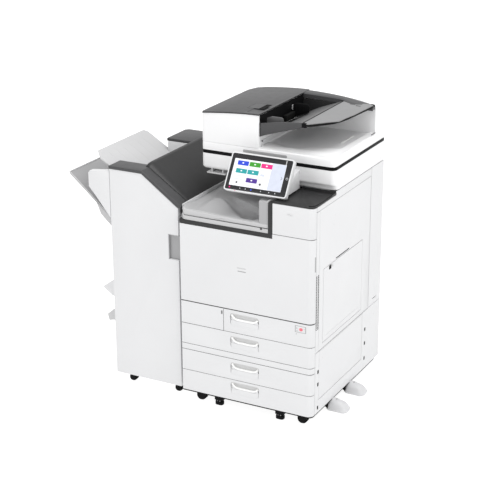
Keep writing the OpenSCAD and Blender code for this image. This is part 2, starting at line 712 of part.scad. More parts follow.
// Band along the finisher's top: cap height, slope, and the nose beside the copier
module finisher_top_cover() place() color(dark) {
  along_y(fin_y0 - 2, 78) polygon([[fin_x0 - 1, fin_z1], [slope_x, fin_z1], [fin_x1, slope_z - 1],
    [nose_x - 2, slope_z - 1], [nose_x, slope_z + 6], [nose_x - 6, slope_z + 12], [slope_x + 3, fin_z1 + 12],
    [fin_x0 - 1, fin_z1 + 12]]);
  block([fin_x0 - 1, 77.5, fin_z1], [slope_x - 14, outlet_y0 + 4, fin_z1 + 12]);
  translate([0, 0, fin_z1]) linear_extrude(12) polygon([[fin_x0 - 1, outlet_y1 - 4], [slope_x - 14, outlet_y1 - 4],
    [slope_x - 14, fin_y1 + 4], [fin_x0 + 14, fin_y1 + 4], [fin_x0 - 1, fin_y1 - 11]]);
}

module finisher_slant_cover() place() color(dark)
  along_y(79, fin_y1 + 4) polygon([[slope_x - 13, 936], [slope_x - 13, 977], [slope_x - 8, 983],
    [slope_x, 985], [slope_x + 8, 981], [nose_x - 6, slope_z + 15], [nose_x, slope_z + 8], [nose_x, slope_z],
    [fin_x1, slope_z], [slope_x - 6, 964], [slope_x - 8, 936]]);

// Height of the upper tray at x
upper_slope = tan(31);
function upper_at(x) = 986 - (x + 752) * upper_slope;

module finisher_upper_tray() place() color(grey) difference() {
  along_y(94, 500) polygon([[-761, 991.5], [-761, 985.5], [-506, upper_at(-506) - 6], [-506, upper_at(-506)]]);
  // Waist where the tray passes between the caps' walls
  block([fin_x0 - 2, 93, 800], [-500, outlet_y0 + 5, 960]);
  block([fin_x0 - 2, outlet_y1 - 5, 800], [-500, 501, 960]);
  // Cut corners at the outer end
  translate([-761, 94, 900]) rotate([0, 0, 45]) cube([46, 46, 200], center = true);
  translate([-761, 500, 900]) rotate([0, 0, 45]) cube([20, 20, 200], center = true);
}

module stapler_carriage() place() {
  color(dark) block([-600, 90, 620], [-540, 140, 660]);
  color(steel) block([-592, 98, 660], [-548, 132, 676]);
}

module shift_tray() place() color([0.62, 0.62, 0.63]) difference() {
  along_y(100, 540) polygon([[shift_tip_x, 890], [shift_tip_x + 4, 877], [-763, 774], [-741, 722], [-690, 676],
    [fin_x0 - 2, 668], [fin_x0 - 2, 690], [-700, 724]]);
  along_y(104, 536) polygon([[-760, 768], [-738, 718], [-688, 670], [fin_x0 - 8, 660], [fin_x0 - 8, 684],
    [-700, 716]]);
}

module booklet_tray() place() color(grey) difference() {
  along_y(118, 482) polygon([[fin_x0 - 2, 325], [-709, 287], [-741, 260], [-733, 231], [-709, 238],
    [fin_x0 - 2, 212]]);
  along_y(122, 478) polygon([[fin_x0 - 1, 320], [-707, 282], [-734, 259], [-732, 250], [-709, 246],
    [fin_x0 - 1, 224]]);
}

// ---------------------------------------------------------------- casters

// Swivel fork: hood, two cheeks and the axle; the wheel trails the swivel axis by off
module caster_fork(x, y, r, off, top_z) translate([x, y, 0]) color(black) {
  cz = r + lift;
  translate([0, 0, top_z - 4]) cylinder(r = 12, h = 3.6);
  block([-off - 8, -15, cz + r + 0.6 > top_z - 4 ? top_z - 3 : cz + r + 0.6], [10, 15, top_z - 0.4]);
  for (s = [-1, 1]) translate([0, s * 13.5, 0]) {
    rod_y(-off, -1.5, 1.5, cz, r - 3);
    block([-off - r + 6, -1.5, cz], [6, 1.5, top_z - 0.4]);
  }
  rod_y(-off, -14, 14, cz, 3);
}

module caster_wheel(x, y, r, off) translate([x - off, y, r + lift]) color(black)
  rotate([90, 0, 0]) difference() {
    cylinder(r = r, h = 20, center = true);
    cylinder(r = 3.07, h = 22, center = true);
    for (s = [-1, 1]) translate([0, 0, s * 11.5]) cylinder(r = r - 6, h = 6, center = true);
  }

// Two wheels on one shaft across the machine
module wheel_pair(x0, x1, y, r) color(black) {
  rod_x(x0, x1, y, r + lift, 5);
  for (x = [x0 - 18, x1]) rod_x(x, x + 18, y, r + lift, r);
}

module left_caster_fork() place() caster_fork(-215, 44, wheel_r - 3, 15, cabinet_z);
module left_caster_wheel() place() caster_wheel(-215, 44, wheel_r - 3, 15);
module right_caster_fork() place() caster_fork(252, 44, wheel_r - 3, 15, cabinet_z);
module right_caster_wheel() place() caster_wheel(252, 44, wheel_r - 3, 15);
module rear_wheels() place() wheel_pair(-224, 224, 600, wheel_r - 1);
module finisher_left_fork() place() caster_fork(-575, 70, fin_wheel_r, 8, fin_z0);
module finisher_left_wheel() place() caster_wheel(-575, 70, fin_wheel_r, 8);
module finisher_right_fork() place() caster_fork(-348, 70, fin_wheel_r, 8, fin_z0);
module finisher_right_wheel() place() caster_wheel(-348, 70, fin_wheel_r, 8);
module finisher_rear_wheels() place() wheel_pair(-565, -368, 560, fin_wheel_r);

// ---------------------------------------------------------------- nodes

base_frame();
left_cover();
rear_cover();
right_side_covers();
front_panels();
work_shelf();
exit_trim();
exit_tray();
scanner_housing();
scanner_top_frame();
platen_glass();
toner_bottles();
imaging_unit();
fuser_unit();
leveling_feet();
stabilizer_feet();
power_inlet();
panel_arm();
tray_1_front();
tray_2_front();
tray_3_front();
tray_4_front();
tray_1_box();
tray_2_box();
tray_3_box();
tray_4_box();
front_door();
right_door();
bypass_tray();
lower_right_door();
feeder_body();
feeder_cover();
feeder_input_tray();
front_paper_guide();
rear_paper_guide();
feed_roller();
platen_pad();
panel_housing();
panel_screen();
power_button();
scan_carriage();
finisher_frame();
finisher_shell();
finisher_top_cover();
finisher_slant_cover();
finisher_upper_tray();
stapler_carriage();
finisher_door();
shift_tray();
booklet_tray();
left_caster_fork();
left_caster_wheel();
right_caster_fork();
right_caster_wheel();
rear_wheels();
finisher_left_fork();
finisher_left_wheel();
finisher_right_fork();
finisher_right_wheel();
finisher_rear_wheels();
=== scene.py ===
import json
import math

import bmesh
import bpy
from mathutils import Matrix, Vector


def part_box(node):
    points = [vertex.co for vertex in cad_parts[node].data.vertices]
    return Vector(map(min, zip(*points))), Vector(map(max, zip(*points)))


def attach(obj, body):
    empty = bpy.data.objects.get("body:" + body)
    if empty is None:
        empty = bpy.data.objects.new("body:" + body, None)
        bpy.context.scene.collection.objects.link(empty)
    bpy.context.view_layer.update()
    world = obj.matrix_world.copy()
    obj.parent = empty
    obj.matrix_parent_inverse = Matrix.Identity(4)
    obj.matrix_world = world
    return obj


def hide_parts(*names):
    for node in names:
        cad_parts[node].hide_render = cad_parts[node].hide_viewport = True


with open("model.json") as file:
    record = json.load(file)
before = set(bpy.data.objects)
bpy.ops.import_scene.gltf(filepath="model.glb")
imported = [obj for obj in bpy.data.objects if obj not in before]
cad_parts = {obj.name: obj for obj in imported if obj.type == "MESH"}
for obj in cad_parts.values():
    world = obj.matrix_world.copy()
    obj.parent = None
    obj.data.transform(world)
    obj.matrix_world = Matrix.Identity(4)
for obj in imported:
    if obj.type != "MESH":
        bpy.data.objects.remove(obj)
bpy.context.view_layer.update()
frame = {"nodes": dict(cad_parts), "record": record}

# ---------------- places, in machine millimetres
# x from the middle of the platen glass, y from the front face, z from the floor.

MM = 0.001


def low(node):
    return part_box(node)[0]


def high(node):
    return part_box(node)[1]


RIGHT = 293.5  # right side of the copier body
BODY_X = high("rear_cover").x - RIGHT * MM
FRONT_Y = low("front_door").y


def at(x, y, z):
    """Machine millimetres to the row frame in metres."""
    return Vector((BODY_X + x * MM, FRONT_Y + y * MM, z * MM))


def span(node):
    """The node's box in machine millimetres: x0, y0, z0, x1, y1, z1."""
    a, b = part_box(node)
    return [round((v - o) / MM, 3) for p in (a, b) for v, o in zip(p, (BODY_X, FRONT_Y, 0))]


# ---------------- materials


class Surface:
    """A node material; its noise runs over the object's own coordinates."""

    def __init__(self, name, colour, spread, scale, detail, inputs):
        self.material = bpy.data.materials.new(name)
        self.material.use_nodes = True
        self.tree = self.material.node_tree
        self.bsdf = self.tree.nodes["Principled BSDF"]
        self.coord = self.new("TexCoord").outputs["Object"]
        self.colour = self.tint(self.noise(scale, detail), colour, spread)
        self.link(self.colour, "Base Color")
        for key, value in inputs.items():
            self.bsdf.inputs[key].default_value = value

    def new(self, kind, **inputs):
        """A node with its inputs: an output to link, or a plain value."""
        node = self.tree.nodes.new("ShaderNode" + kind)
        for key, value in inputs.items():
            socket = node.inputs[key.replace("_", " ")]
            if isinstance(value, bpy.types.NodeSocket):
                self.tree.links.new(value, socket)
            else:
                socket.default_value = value
        return node

    def link(self, output, name):
        self.tree.links.new(output, self.bsdf.inputs[name])

    def noise(self, scale, detail, stretch=None):
        """Noise; stretch squeezes it along an axis."""
        source = self.coord
        if stretch:
            source = self.new("Mapping", Vector=source, Scale=stretch).outputs["Vector"]
        return self.new("TexNoise", Vector=source, Scale=scale, Detail=detail).outputs["Fac"]

    def tint(self, fac, colour, spread):
        """A colour that wanders by spread either side of colour as fac goes over its range."""
        ramp = self.new("ValToRGB", Fac=fac)
        ends = ramp.color_ramp.elements
        ends[0].position, ends[1].position = 0.3, 0.7
        for element, k in zip(ends, (1 - spread, 1 + spread)):
            element.color = [min(1.0, c * k) for c in colour] + [1]
        return ramp.outputs["Color"]

    def bump(self, height, distance, strength, **under):
        return self.new("Bump", Height=height, Distance=distance, Strength=strength, **under).outputs["Normal"]

    def gloss(self, fac, least, most):
        """Roughness that follows fac."""
        self.link(self.new("MapRange", Value=fac, To_Min=least, To_Max=most).outputs["Result"], "Roughness")


def plastic(name, colour, roughness=0.42, spread=0.012, grain=1500, depth=0.00003, spec=0.45):
    """Moulded plastic: faint cloudiness, eroded fine grain, slow waviness and a patchy gloss."""
    look = Surface(name, colour, spread, 5, 3, {"Specular IOR Level": spec})
    wave = look.bump(look.noise(14, 1), 0.0006, 0.12)
    look.link(look.bump(look.noise(grain, 2), depth, 0.6, Normal=wave), "Normal")
    look.gloss(look.noise(40, 3), roughness - 0.05, roughness + 0.05)
    return look.material


def metal(name, colour, roughness=0.35):
    """Sheet metal with a rolled grain and faint blotches."""
    look = Surface(name, colour, 0.08, 25, 4, {"Metallic": 0.9})
    rolled = look.noise(400, 2, (1, 0.04, 1))
    look.link(look.bump(rolled, 0.00004, 0.5), "Normal")
    look.gloss(rolled, roughness - 0.08, roughness + 0.12)
    return look.material


def lit(name, colour, glow, spread=0.03, scale=60, detail=2, **inputs):
    """A surface with a little light of its own, with a faint grain."""
    look = Surface(name, colour, spread, scale, detail, {"Emission Strength": glow, "Roughness": 0.3} | inputs)
    look.link(look.colour, "Emission Color")
    return look.material


WHITE = plastic("white_plastic", (0.660, 0.662, 0.670), 0.40)
DARK = plastic("dark_plastic", (0.048, 0.048, 0.05), 0.42, 0.05, 1100, 0.00006)
# A darker copy of the dark plastic, painted shade: on the sloping cover that turns from the light, and on the trough's
# walls and floor that lie in shade
DARK_SHADED = plastic("dark_plastic_shaded", (0.021, 0.021, 0.0215), 0.42, 0.05, 1100, 0.00006, 0.35)
MIDDLE = plastic("trough_grey", (0.13, 0.13, 0.132), 0.42, 0.05, 1100, 0.00006)
PALE = plastic("plate_grey", (0.215, 0.215, 0.218), 0.42, 0.04, 1100, 0.00006)
CASING = plastic("casing_white", (0.80, 0.80, 0.805), 0.42, 0.012)
SHOE = plastic("shoe_grey", (0.60, 0.60, 0.61), 0.42, 0.015)
# A darker copy of the white: painted shade in the handle recesses
SCOOP_SHADE = plastic("scoop_painted_shade", (0.56, 0.56, 0.56), 0.45, 0.015)
BAY = plastic("bay_grey", (0.36, 0.36, 0.365), 0.45, 0.015)
GUIDE = plastic("guide_grey", (0.10, 0.10, 0.102), 0.42, 0.03)
TRAY = plastic("tray_grey", (0.48, 0.48, 0.485), 0.45, 0.015)
GREY_DARK = plastic("rail_grey", (0.048, 0.048, 0.05), 0.42, 0.05, 1100, 0.00006)
# Also used, brighter than the white plastic, as a painted highlight on the handle grips and a deck slit
PAPER = plastic("paper_white", (0.86, 0.86, 0.85), 0.7, 0.01, 600, 0.00002)
# Near-black: painted shade in the gaps between the front panels
GAP_SHADE = plastic("seal_rubber", (0.05, 0.05, 0.05), 0.6, 0.1, 900, 0.00005, 0.2)
# Near-black: painted shade in gaps, slots, vents, seams and openings, and also the colour of the separator block
SHADE_BLACK = plastic("black_and_painted_shade", (0.008, 0.008, 0.008), 0.8, 0.1, 900, 0.00005, 0.1)
# Grey: painted shade in the seams of the right side
SEAM_SHADE = plastic("seam_shade_grey", (0.28, 0.28, 0.285), 0.6, 0.1, 900, 0.00005, 0.2)
PINK = plastic("pink_mark", (0.75, 0.16, 0.20), 0.5, 0.03)
BLACK = plastic("black_plastic", (0.006, 0.006, 0.0065), 0.5, 0.08, 1500, 0.00003, 0.07)
LIGHT = plastic("light_grey_plastic", (0.52, 0.52, 0.525), 0.42, 0.015)
MID = plastic("mid_grey_plastic", (0.33, 0.33, 0.335), 0.42, 0.02)
RUBBER = plastic("rubber", (0.004, 0.004, 0.004), 0.8, 0.15, 700, 0.0001, 0.04)
STEEL = metal("steel", (0.55, 0.56, 0.57))
FOAM = plastic("pad_foam", (0.78, 0.78, 0.78), 0.6, 0.01, 600, 0.0001)


GLASS = Surface("glass", (0.80, 0.90, 0.90), 0.02, 3, 2, {"Roughness": 0.03, "Transmission Weight": 0.9}).material
LIT_WHITE = lit("lit_white", (0.76, 0.77, 0.80), 0.08)
LIT_GREY = lit("lit_grey", (0.52, 0.55, 0.64), 0.08)
LIT_BLUE = lit("lit_blue", (0.015, 0.05, 0.50), 0.12)
LIT_GREEN = lit("lit_green", (0.03, 0.25, 0.01), 0.12)
LIT_PINK = lit("lit_pink", (0.62, 0.015, 0.18), 0.12)
LIT_TEAL = lit("lit_teal", (0.012, 0.27, 0.28), 0.12)
LIT_PURPLE = lit("lit_purple", (0.06, 0.02, 0.22), 0.12)
SCREEN = plastic("screen_glass", (0.010, 0.010, 0.012), 0.16, 0.05, 200, 0.00001, 0.5)

# ---------------- finishing of meshes

SHARP_ANGLE = 35  # degrees between two faces, over which their edge stays hard


def smoothing_group():
    """Geometry nodes that shade smooth and keep edges over the limit sharp."""
    tree = bpy.data.node_groups.new("smooth_by_angle", "GeometryNodeTree")
    for way in ("INPUT", "OUTPUT"):
        tree.interface.new_socket("Geometry", in_out=way, socket_type="NodeSocketGeometry")
    start, end, faces, edges, angle, sharp = [tree.nodes.new(kind) for kind in (
        "NodeGroupInput", "NodeGroupOutput", "GeometryNodeSetShadeSmooth", "GeometryNodeSetShadeSmooth",
        "GeometryNodeInputMeshEdgeAngle", "FunctionNodeCompare")]
    faces.inputs["Shade Smooth"].default_value = True
    edges.inputs["Shade Smooth"].default_value = False
    edges.domain = "EDGE"
    sharp.data_type, sharp.operation = "FLOAT", "GREATER_THAN"
    sharp.inputs["B"].default_value = math.radians(SHARP_ANGLE)
    for source, output, target, socket in (
            (angle, "Unsigned Angle", sharp, "A"), (sharp, "Result", edges, "Selection"),
            (start, "Geometry", faces, "Geometry"), (faces, "Geometry", edges, "Geometry"),
            (edges, "Geometry", end, "Geometry")):
        tree.links.new(source.outputs[output], target.inputs[socket])
    return tree


SMOOTH = smoothing_group()


def bevel(obj, width, segments=3, limit=28):
    mod = obj.modifiers.new("edges", "BEVEL")
    mod.width = width * MM
    mod.segments = segments
    mod.limit_method = "ANGLE"
    mod.angle_limit = math.radians(limit)
    mod.use_clamp_overlap = True


def shade(obj):
    obj.modifiers.new("smooth", "NODES").node_group = SMOOTH


def finish_node(node, material, width=0.8, segments=2):
    """Gives a CAD node its material and rounds its edges."""
    obj = frame["nodes"][node]
    obj.data.materials.clear()
    obj.data.materials.append(material)
    weld = obj.modifiers.new("weld", "WELD")
    weld.merge_threshold = 0.01 * MM
    flat = obj.modifiers.new("flat", "DECIMATE")
    flat.decimate_type = "DISSOLVE"
    flat.angle_limit = math.radians(0.5)
    if width:
        bevel(obj, width, segments)
    shade(obj)
    return obj


# ---------------- making pieces


AXES = {
    "x": lambda u, v, w: (w, u, v),
    "y": lambda u, v, w: (u, w, v),
    "z": lambda u, v, w: (u, v, w),
}


def piece(name, verts, faces, material, body="machine", width=0.0, segments=2, replaces=()):
    """A closed mesh from machine-millimetre points that rides on a body."""
    mesh = bpy.data.meshes.new(name)
    mesh.from_pydata([at(*v) for v in verts], [], faces)
    bm = bmesh.new()
    bm.from_mesh(mesh)
    bmesh.ops.remove_doubles(bm, verts=bm.verts, dist=0.00001)
    bmesh.ops.recalc_face_normals(bm, faces=bm.faces)
    bm.to_mesh(mesh)
    bm.free()
    mesh.materials.append(material)
    obj = bpy.data.objects.new(name, mesh)
    bpy.context.scene.collection.objects.link(obj)
    if width:
        bevel(obj, width, segments)
    shade(obj)
    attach(obj, body)
    if replaces:
        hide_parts(*replaces)
    return obj


def room(neighbour):
    """Share of a side that a rounded corner may use: half of it where the next corner is round too."""
    return 0.495 if len(neighbour) > 2 and neighbour[2] else 0.99


def fillet(corners, steps=6):
    """A closed outline from (u, v) or (u, v, radius) corners, each rounded by its radius."""
    out = []
    for i, (u, v, *radius) in enumerate(corners):
        corner = Vector((u, v))
        if not radius or not radius[0]:
            out.append(corner)
            continue
        before, after = corners[i - 1], corners[(i + 1) % len(corners)]
        back, on = Vector(before[:2]) - corner, Vector(after[:2]) - corner
        reach = radius[0] / math.tan(back.angle(on) / 2)
        start = corner + back.normalized() * min(reach, back.length * room(before))
        end = corner + on.normalized() * min(reach, on.length * room(after))
        for k in range(steps + 1):
            t = k / steps
            out.append(start * (1 - t) ** 2 + corner * 2 * t * (1 - t) + end * t ** 2)
    return out


def rounded(u0, v0, u1, v1, r):
    """Corners of a rectangle with rounded corners."""
    return [(u0, v0, r), (u1, v0, r), (u1, v1, r), (u0, v1, r)]


def loft(name, rings, material, body="machine", **more):
    """A closed solid through rings of the same number of points, capped at both ends."""
    count = len(rings[0])
    if any(len(ring) != count for ring in rings):
        raise ValueError(name + ": rings of unequal length")
    verts = [tuple(p) for ring in rings for p in ring]
    faces = [tuple(range(count)), tuple(range(len(verts) - count, len(verts)))]
    for k in range(len(rings) - 1):
        a, b = k * count, (k + 1) * count
        faces += [(a + i, a + (i + 1) % count, b + (i + 1) % count, b + i) for i in range(count)]
    return piece(name, verts, faces, material, body, **more)


def prism(name, axis, corners, w0, w1, material, body="machine", **more):
    """An outline in the plane across the axis, pushed from w0 to w1 along it."""
    outline = fillet(corners)
    rings = [[AXES[axis](u, v, w) for u, v in outline] for w in (w0, w1)]
    return loft(name, rings, material, body, **more)


def sheet(name, columns, rows, place, depth, material, body="machine", back=None, **more):
    """A solid whose top follows place(s, t) -> (x, y, z), for s and t from 0 to 1.

    The other side lies depth below it, or is flat at y = back.
    """
    top = [place(i / columns, j / rows) for j in range(rows + 1) for i in range(columns + 1)]
    verts = top + [(x, y, z - depth) if back is None else (x, back, z) for x, y, z in top]
    wide, under = columns + 1, len(top)
    faces = []
    for j in range(rows):
        for i in range(columns):
            a = j * wide + i
            quad = (a, a + 1, a + wide + 1, a + wide)
            faces += [quad, tuple(v + under for v in reversed(quad))]
    edge = [i for i in range(wide)] + [j * wide + columns for j in range(1, rows + 1)]
    edge += [rows * wide + i for i in range(columns - 1, -1, -1)] + [j * wide for j in range(rows - 1, 0, -1)]
    faces += [(a, b, b + under, a + under) for a, b in zip(edge, edge[1:] + edge[:1])]
    return piece(name, verts, faces, material, body, **more)


def lathe(name, axis, centre, profile, material, body="machine", turns=48, **more):
    """A solid of revolution about an axis through centre, from (distance along, radius) points."""
    rings = []
    for along, r in profile:
        ring = []
        for k in range(turns):
            a = math.tau * k / turns
            ring.append([c + d for c, d in zip(centre, AXES[axis](r * math.cos(a), r * math.sin(a), along))])
        rings.append(ring)
    return loft(name, rings, material, body, **more)


def wire(name, points, radius, material, body="machine", closed=False, smooth=True):
    """A round line through points."""
    data = bpy.data.curves.new(name, "CURVE")
    data.dimensions = "3D"
    data.bevel_depth = radius * MM
    data.bevel_resolution = 2
    data.resolution_u = 8
    spline = data.splines.new("BEZIER" if smooth else "POLY")
    if smooth:
        spline.bezier_points.add(len(points) - 1)
        for knot, point in zip(spline.bezier_points, points):
            knot.co = at(*point)
            knot.handle_left_type = knot.handle_right_type = "AUTO"
    else:
        spline.points.add(len(points) - 1)
        for knot, point in zip(spline.points, points):
            knot.co = (*at(*point), 1)
    spline.use_cyclic_u = closed
    data.use_fill_caps = not closed
    data.materials.append(material)
    obj = bpy.data.objects.new(name, data)
    bpy.context.scene.collection.objects.link(obj)
    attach(obj, body)
    return obj


def ease(a, b, x):
    t = min(1.0, max(0.0, (x - a) / (b - a)))
    return t * t * (3 - 2 * t)


# ---------------- carried-over nodes

CAD_FINISH = {
    "white_plastic": WHITE, "dark_plastic": DARK, "light_grey_plastic": LIGHT, "mid_grey_plastic": MID,
    "steel": STEEL, "black_plastic": BLACK, "rubber": RUBBER, "glass": GLASS, "screen_glass": SCREEN,
    "pad_foam": FOAM,
}
EDGE_WIDTH = {"feeder_cover": 2, "finisher_top_cover": 2}
# The finisher's sloping cover takes the darker copy of dark plastic as painted shade; the exit trim and work shelf
# take it too
OWN_FINISH = {
    "scanner_top_frame": BLACK, "scanner_housing": CASING, "finisher_slant_cover": DARK_SHADED, "exit_trim": DARK_SHADED,
    "work_shelf": DARK_SHADED,
}
for part in frame["record"]["subparts"]:
    name = part["node"]
    finish_node(name, OWN_FINISH.get(name, CAD_FINISH[part["material_slot"]]), EDGE_WIDTH.get(name, 0.8), 3)

# ---------------- gaps and the painted shade in them

TRAY_4_TOP = span("tray_4_front")[5]
TRAY_3_TOP = span("tray_3_front")[5]
STRIP_TOP = span("tray_2_front")[2] - 2
TRAY_2_TOP = span("tray_2_front")[5]
TRAY_1_TOP = span("tray_1_front")[5]
TRAY_1_LEFT = span("tray_1_front")[0]
DOOR_TOP = span("front_door")[5]
LEFT = span("left_cover")[0]
CORNER = 24  # corner radius of the front panels
DOCK = 4  # corner radius beside the finisher
WALL = 26  # depth of the front panels
INSET = 0.8  # how far a strip of painted shade stays behind the surface


def gap_shade(name, x0, x1, z0, z1, body, r_left, r_right):
    """Dark strip of painted shade that closes the gap between two front panels, just behind their faces."""
    corners = [
        (x0 + INSET, WALL), (x0 + INSET, INSET, max(0, r_left - INSET)),
        (x1 - INSET, INSET, r_right), (x1 - INSET, WALL),
    ]
    prism(name, "z", corners, z0, z1, GAP_SHADE, body)


def gap_shades():
    """The strips, each from the top of the panel below it."""
    for name, x0, x1, top, height, body, r_left, r_right in (
            ("tray_4", LEFT, RIGHT, TRAY_4_TOP, 1.4, "tray_4", DOCK, CORNER),
            ("tray_3", LEFT, RIGHT, TRAY_3_TOP, 1.4, "tray_3", DOCK, CORNER),
            ("strip", LEFT, RIGHT, STRIP_TOP, 1.4, "machine", DOCK, CORNER),
            ("tray_2", LEFT, RIGHT, TRAY_2_TOP, 1.4, "tray_2", DOCK, CORNER),
            ("tray_1", TRAY_1_LEFT, RIGHT, TRAY_1_TOP, 2.4, "tray_1", 0, CORNER),
            ("left_panel", LEFT, TRAY_1_LEFT - 2, TRAY_1_TOP, 2.4, "machine", DOCK, 0)):
        gap_shade(f"seal_{name}", x0, x1, top + 0.05, top + height, body, r_left, r_right)
    # Painted shade in the gap over the door and beside tray 1
    gap_shade("seal_door_top", 117, RIGHT, DOOR_TOP + 0.5, DOOR_TOP + 1.9, "machine", 0, CORNER)
    x = TRAY_1_LEFT
    prism("seal_beside_tray_1", "y", rounded(x - 1.9, TRAY_2_TOP + 3, x - 0.3, TRAY_1_TOP, 0.5), INSET, 20, GAP_SHADE)


gap_shades()

# ---------------- handles, marks and side details

HANDLE_X0, HANDLE_X1, HANDLE_H = -72, 57, 50  # handle recess: left and right end, height
VENT_ROWS, VENT_PITCH = 33, 7  # rows of vent slots on the right front post, and their spacing
HANDLE_Z = {1: 388, 2: 288, 3: 171, 4: 84}  # undersides of the recesses


def handle(number):
    """Sloping scoop in a darker white for painted shade, rolled grip in a brighter white for a painted highlight,
    proud lip below it, a grey line under the grip for its painted shadow, and dark lines and a notch at its ends for
    painted shade.
    """
    z, body = HANDLE_Z[number], f"tray_{number}"
    x0, x1 = HANDLE_X0 + 1, HANDLE_X1 - 1
    middle, half = (x0 + x1) / 2, (x1 - x0) / 2

    def scoop(s, t):
        """Bowl that falls back from the recess's upper edge and runs down behind the grip."""
        ends = ease(0.0, 0.14, s) * (1 - ease(0.86, 1.0, s))
        depth = 1.2 + (2 + 6 * ends) * (ease(0.0, 0.25, 1 - t) - 0.5 * ease(0.2, 0.7, 1 - t))
        return x0 + s * (x1 - x0), depth, z + 3 + t * (HANDLE_H - 3.6)

    sheet(f"handle_scoop_{number}", 28, 14, scoop, 0, SCOOP_SHADE, body, back=23.5)

    grip = []
    for k in range(13):
        u = -1 + k / 6
        grip.append((middle + u * (half - 4), 3.9, z + 24 + (19 if u < 0 else 14) * abs(u) ** 6))
    # The grip takes the brighter paper white: a painted highlight
    wire(f"handle_grip_highlight_{number}", grip, 4.4, PAPER, body)
    lip = [(x0 + 3, z - 3, 11), (x1 - 2, z - 3, 11), (x1 - 2, z + 19, 3), (x0 + 3, z + 19, 3)]
    prism(f"handle_lip_{number}", "y", lip, -0.7, 1.6, WHITE, body, width=0.8, segments=3)
    # Grey line under the grip: painted shadow
    wire(f"handle_grip_shadow_{number}", [(x, 0.6, zz - 5.6) for x, _, zz in grip[1:-1]], 0.5, LIGHT, body)
    # Grey line at the left end of the recess: painted shade
    shadow = [(x0 - 0.8, 0.2, z + 38), (x0 - 1.2, 0.2, z + 31), (x0 + 0.8, 0.2, z + 25), (x0 + 7, 0.2, z + 21)]
    wire(f"handle_left_shadow_{number}", shadow, 0.7, MID, body)
    # Dark patch in the notch at the right end: painted shade
    prism(f"handle_notch_shade_{number}", "y", rounded(x1 - 2, z + 24, x1 + 1.4, z + 34, 1.4), 0.15, 4, DARK, body)


def blocks(name, boxes, material, body="machine", **more):
    """Many small boxes as one piece."""
    verts, faces = [], []
    for x0, y0, z0, x1, y1, z1 in boxes:
        n = len(verts)
        verts += [(x, y, z) for x in (x0, x1) for y in (y0, y1) for z in (z0, z1)]
        faces += [tuple(n + i for i in f) for f in
                  ((0, 1, 3, 2), (4, 6, 7, 5), (0, 4, 5, 1), (2, 3, 7, 6), (0, 2, 6, 4), (1, 5, 7, 3))]
    return piece(name, verts, faces, material, body, **more)


def slabs(rows):
    """Plates with rounded corners: name, axis, (u0, v0, u1, v1, radius), w0, w1, material, body, edge width."""
    for name, axis, plan, w0, w1, material, body, width in rows:
        prism(name, axis, rounded(*plan), w0, w1, material, body, width=width)


def front_marks():
    """Blank badge on the door, contact mark, size card and the sensor window beside tray 1."""
    slabs((
        ("door_badge", "y", (-40, 635, 0, 640, 2), -0.15, 0.5, LIGHT, "front_door", 0.2),
        ("door_badge_lower", "y", (-37, 622, 0, 626, 1.6), -0.15, 0.5, MID, "front_door", 0.2),
    ))
    x, z = 192, 894
    around = [math.tau * k / 12 for k in range(12)]
    loop = [(x + 13 * math.cos(a), -0.05, z + 4.4 * math.sin(a)) for a in around]
    wire("contact_mark", loop, 0.35, LIGHT, closed=True)
    wave = [(x - 9, -0.05, z - 1), (x - 4, -0.05, z + 1.6), (x + 1, -0.05, z - 1), (x + 8, -0.05, z - 2.4)]
    wire("contact_wave", wave, 0.5, MID)
    slabs((
        ("size_card", "y", (217, 413, 265, 442, 2), -0.3, 1, MID, "tray_1", 0.3),
        ("size_card_paper", "y", (220, 415, 262, 440, 1), -0.5, 0, WHITE, "tray_1", 0.2),
        ("size_card_mark", "y", (236, 421, 251, 434, 6), -0.7, 0, PINK, "tray_1", 0),
    ))
    lines = ((221.5, 432, 228, 433.2), (221.5, 428, 230, 429.2), (255, 430, 260, 431.2), (223, 419, 229, 421))
    blocks("size_card_lines", [(x0, -0.65, z0, x1, -0.4, z1) for x0, z0, x1, z1 in lines], MID, "tray_1")
    slabs((
        ("size_knob", "y", (221, 403.5, 225, 407.5, 2), -0.3, 1, MID, "tray_1", 0.2),
        ("sensor_window", "y", (-114, 425, -106, 442, 1.5), -0.2, 2, MID, "machine", 0.3),
    ))
    blocks("sensor_slots", [(-112.5, -0.45, 428 + 4 * i, -107.5, 0, 430 + 4 * i) for i in range(3)], DARK)


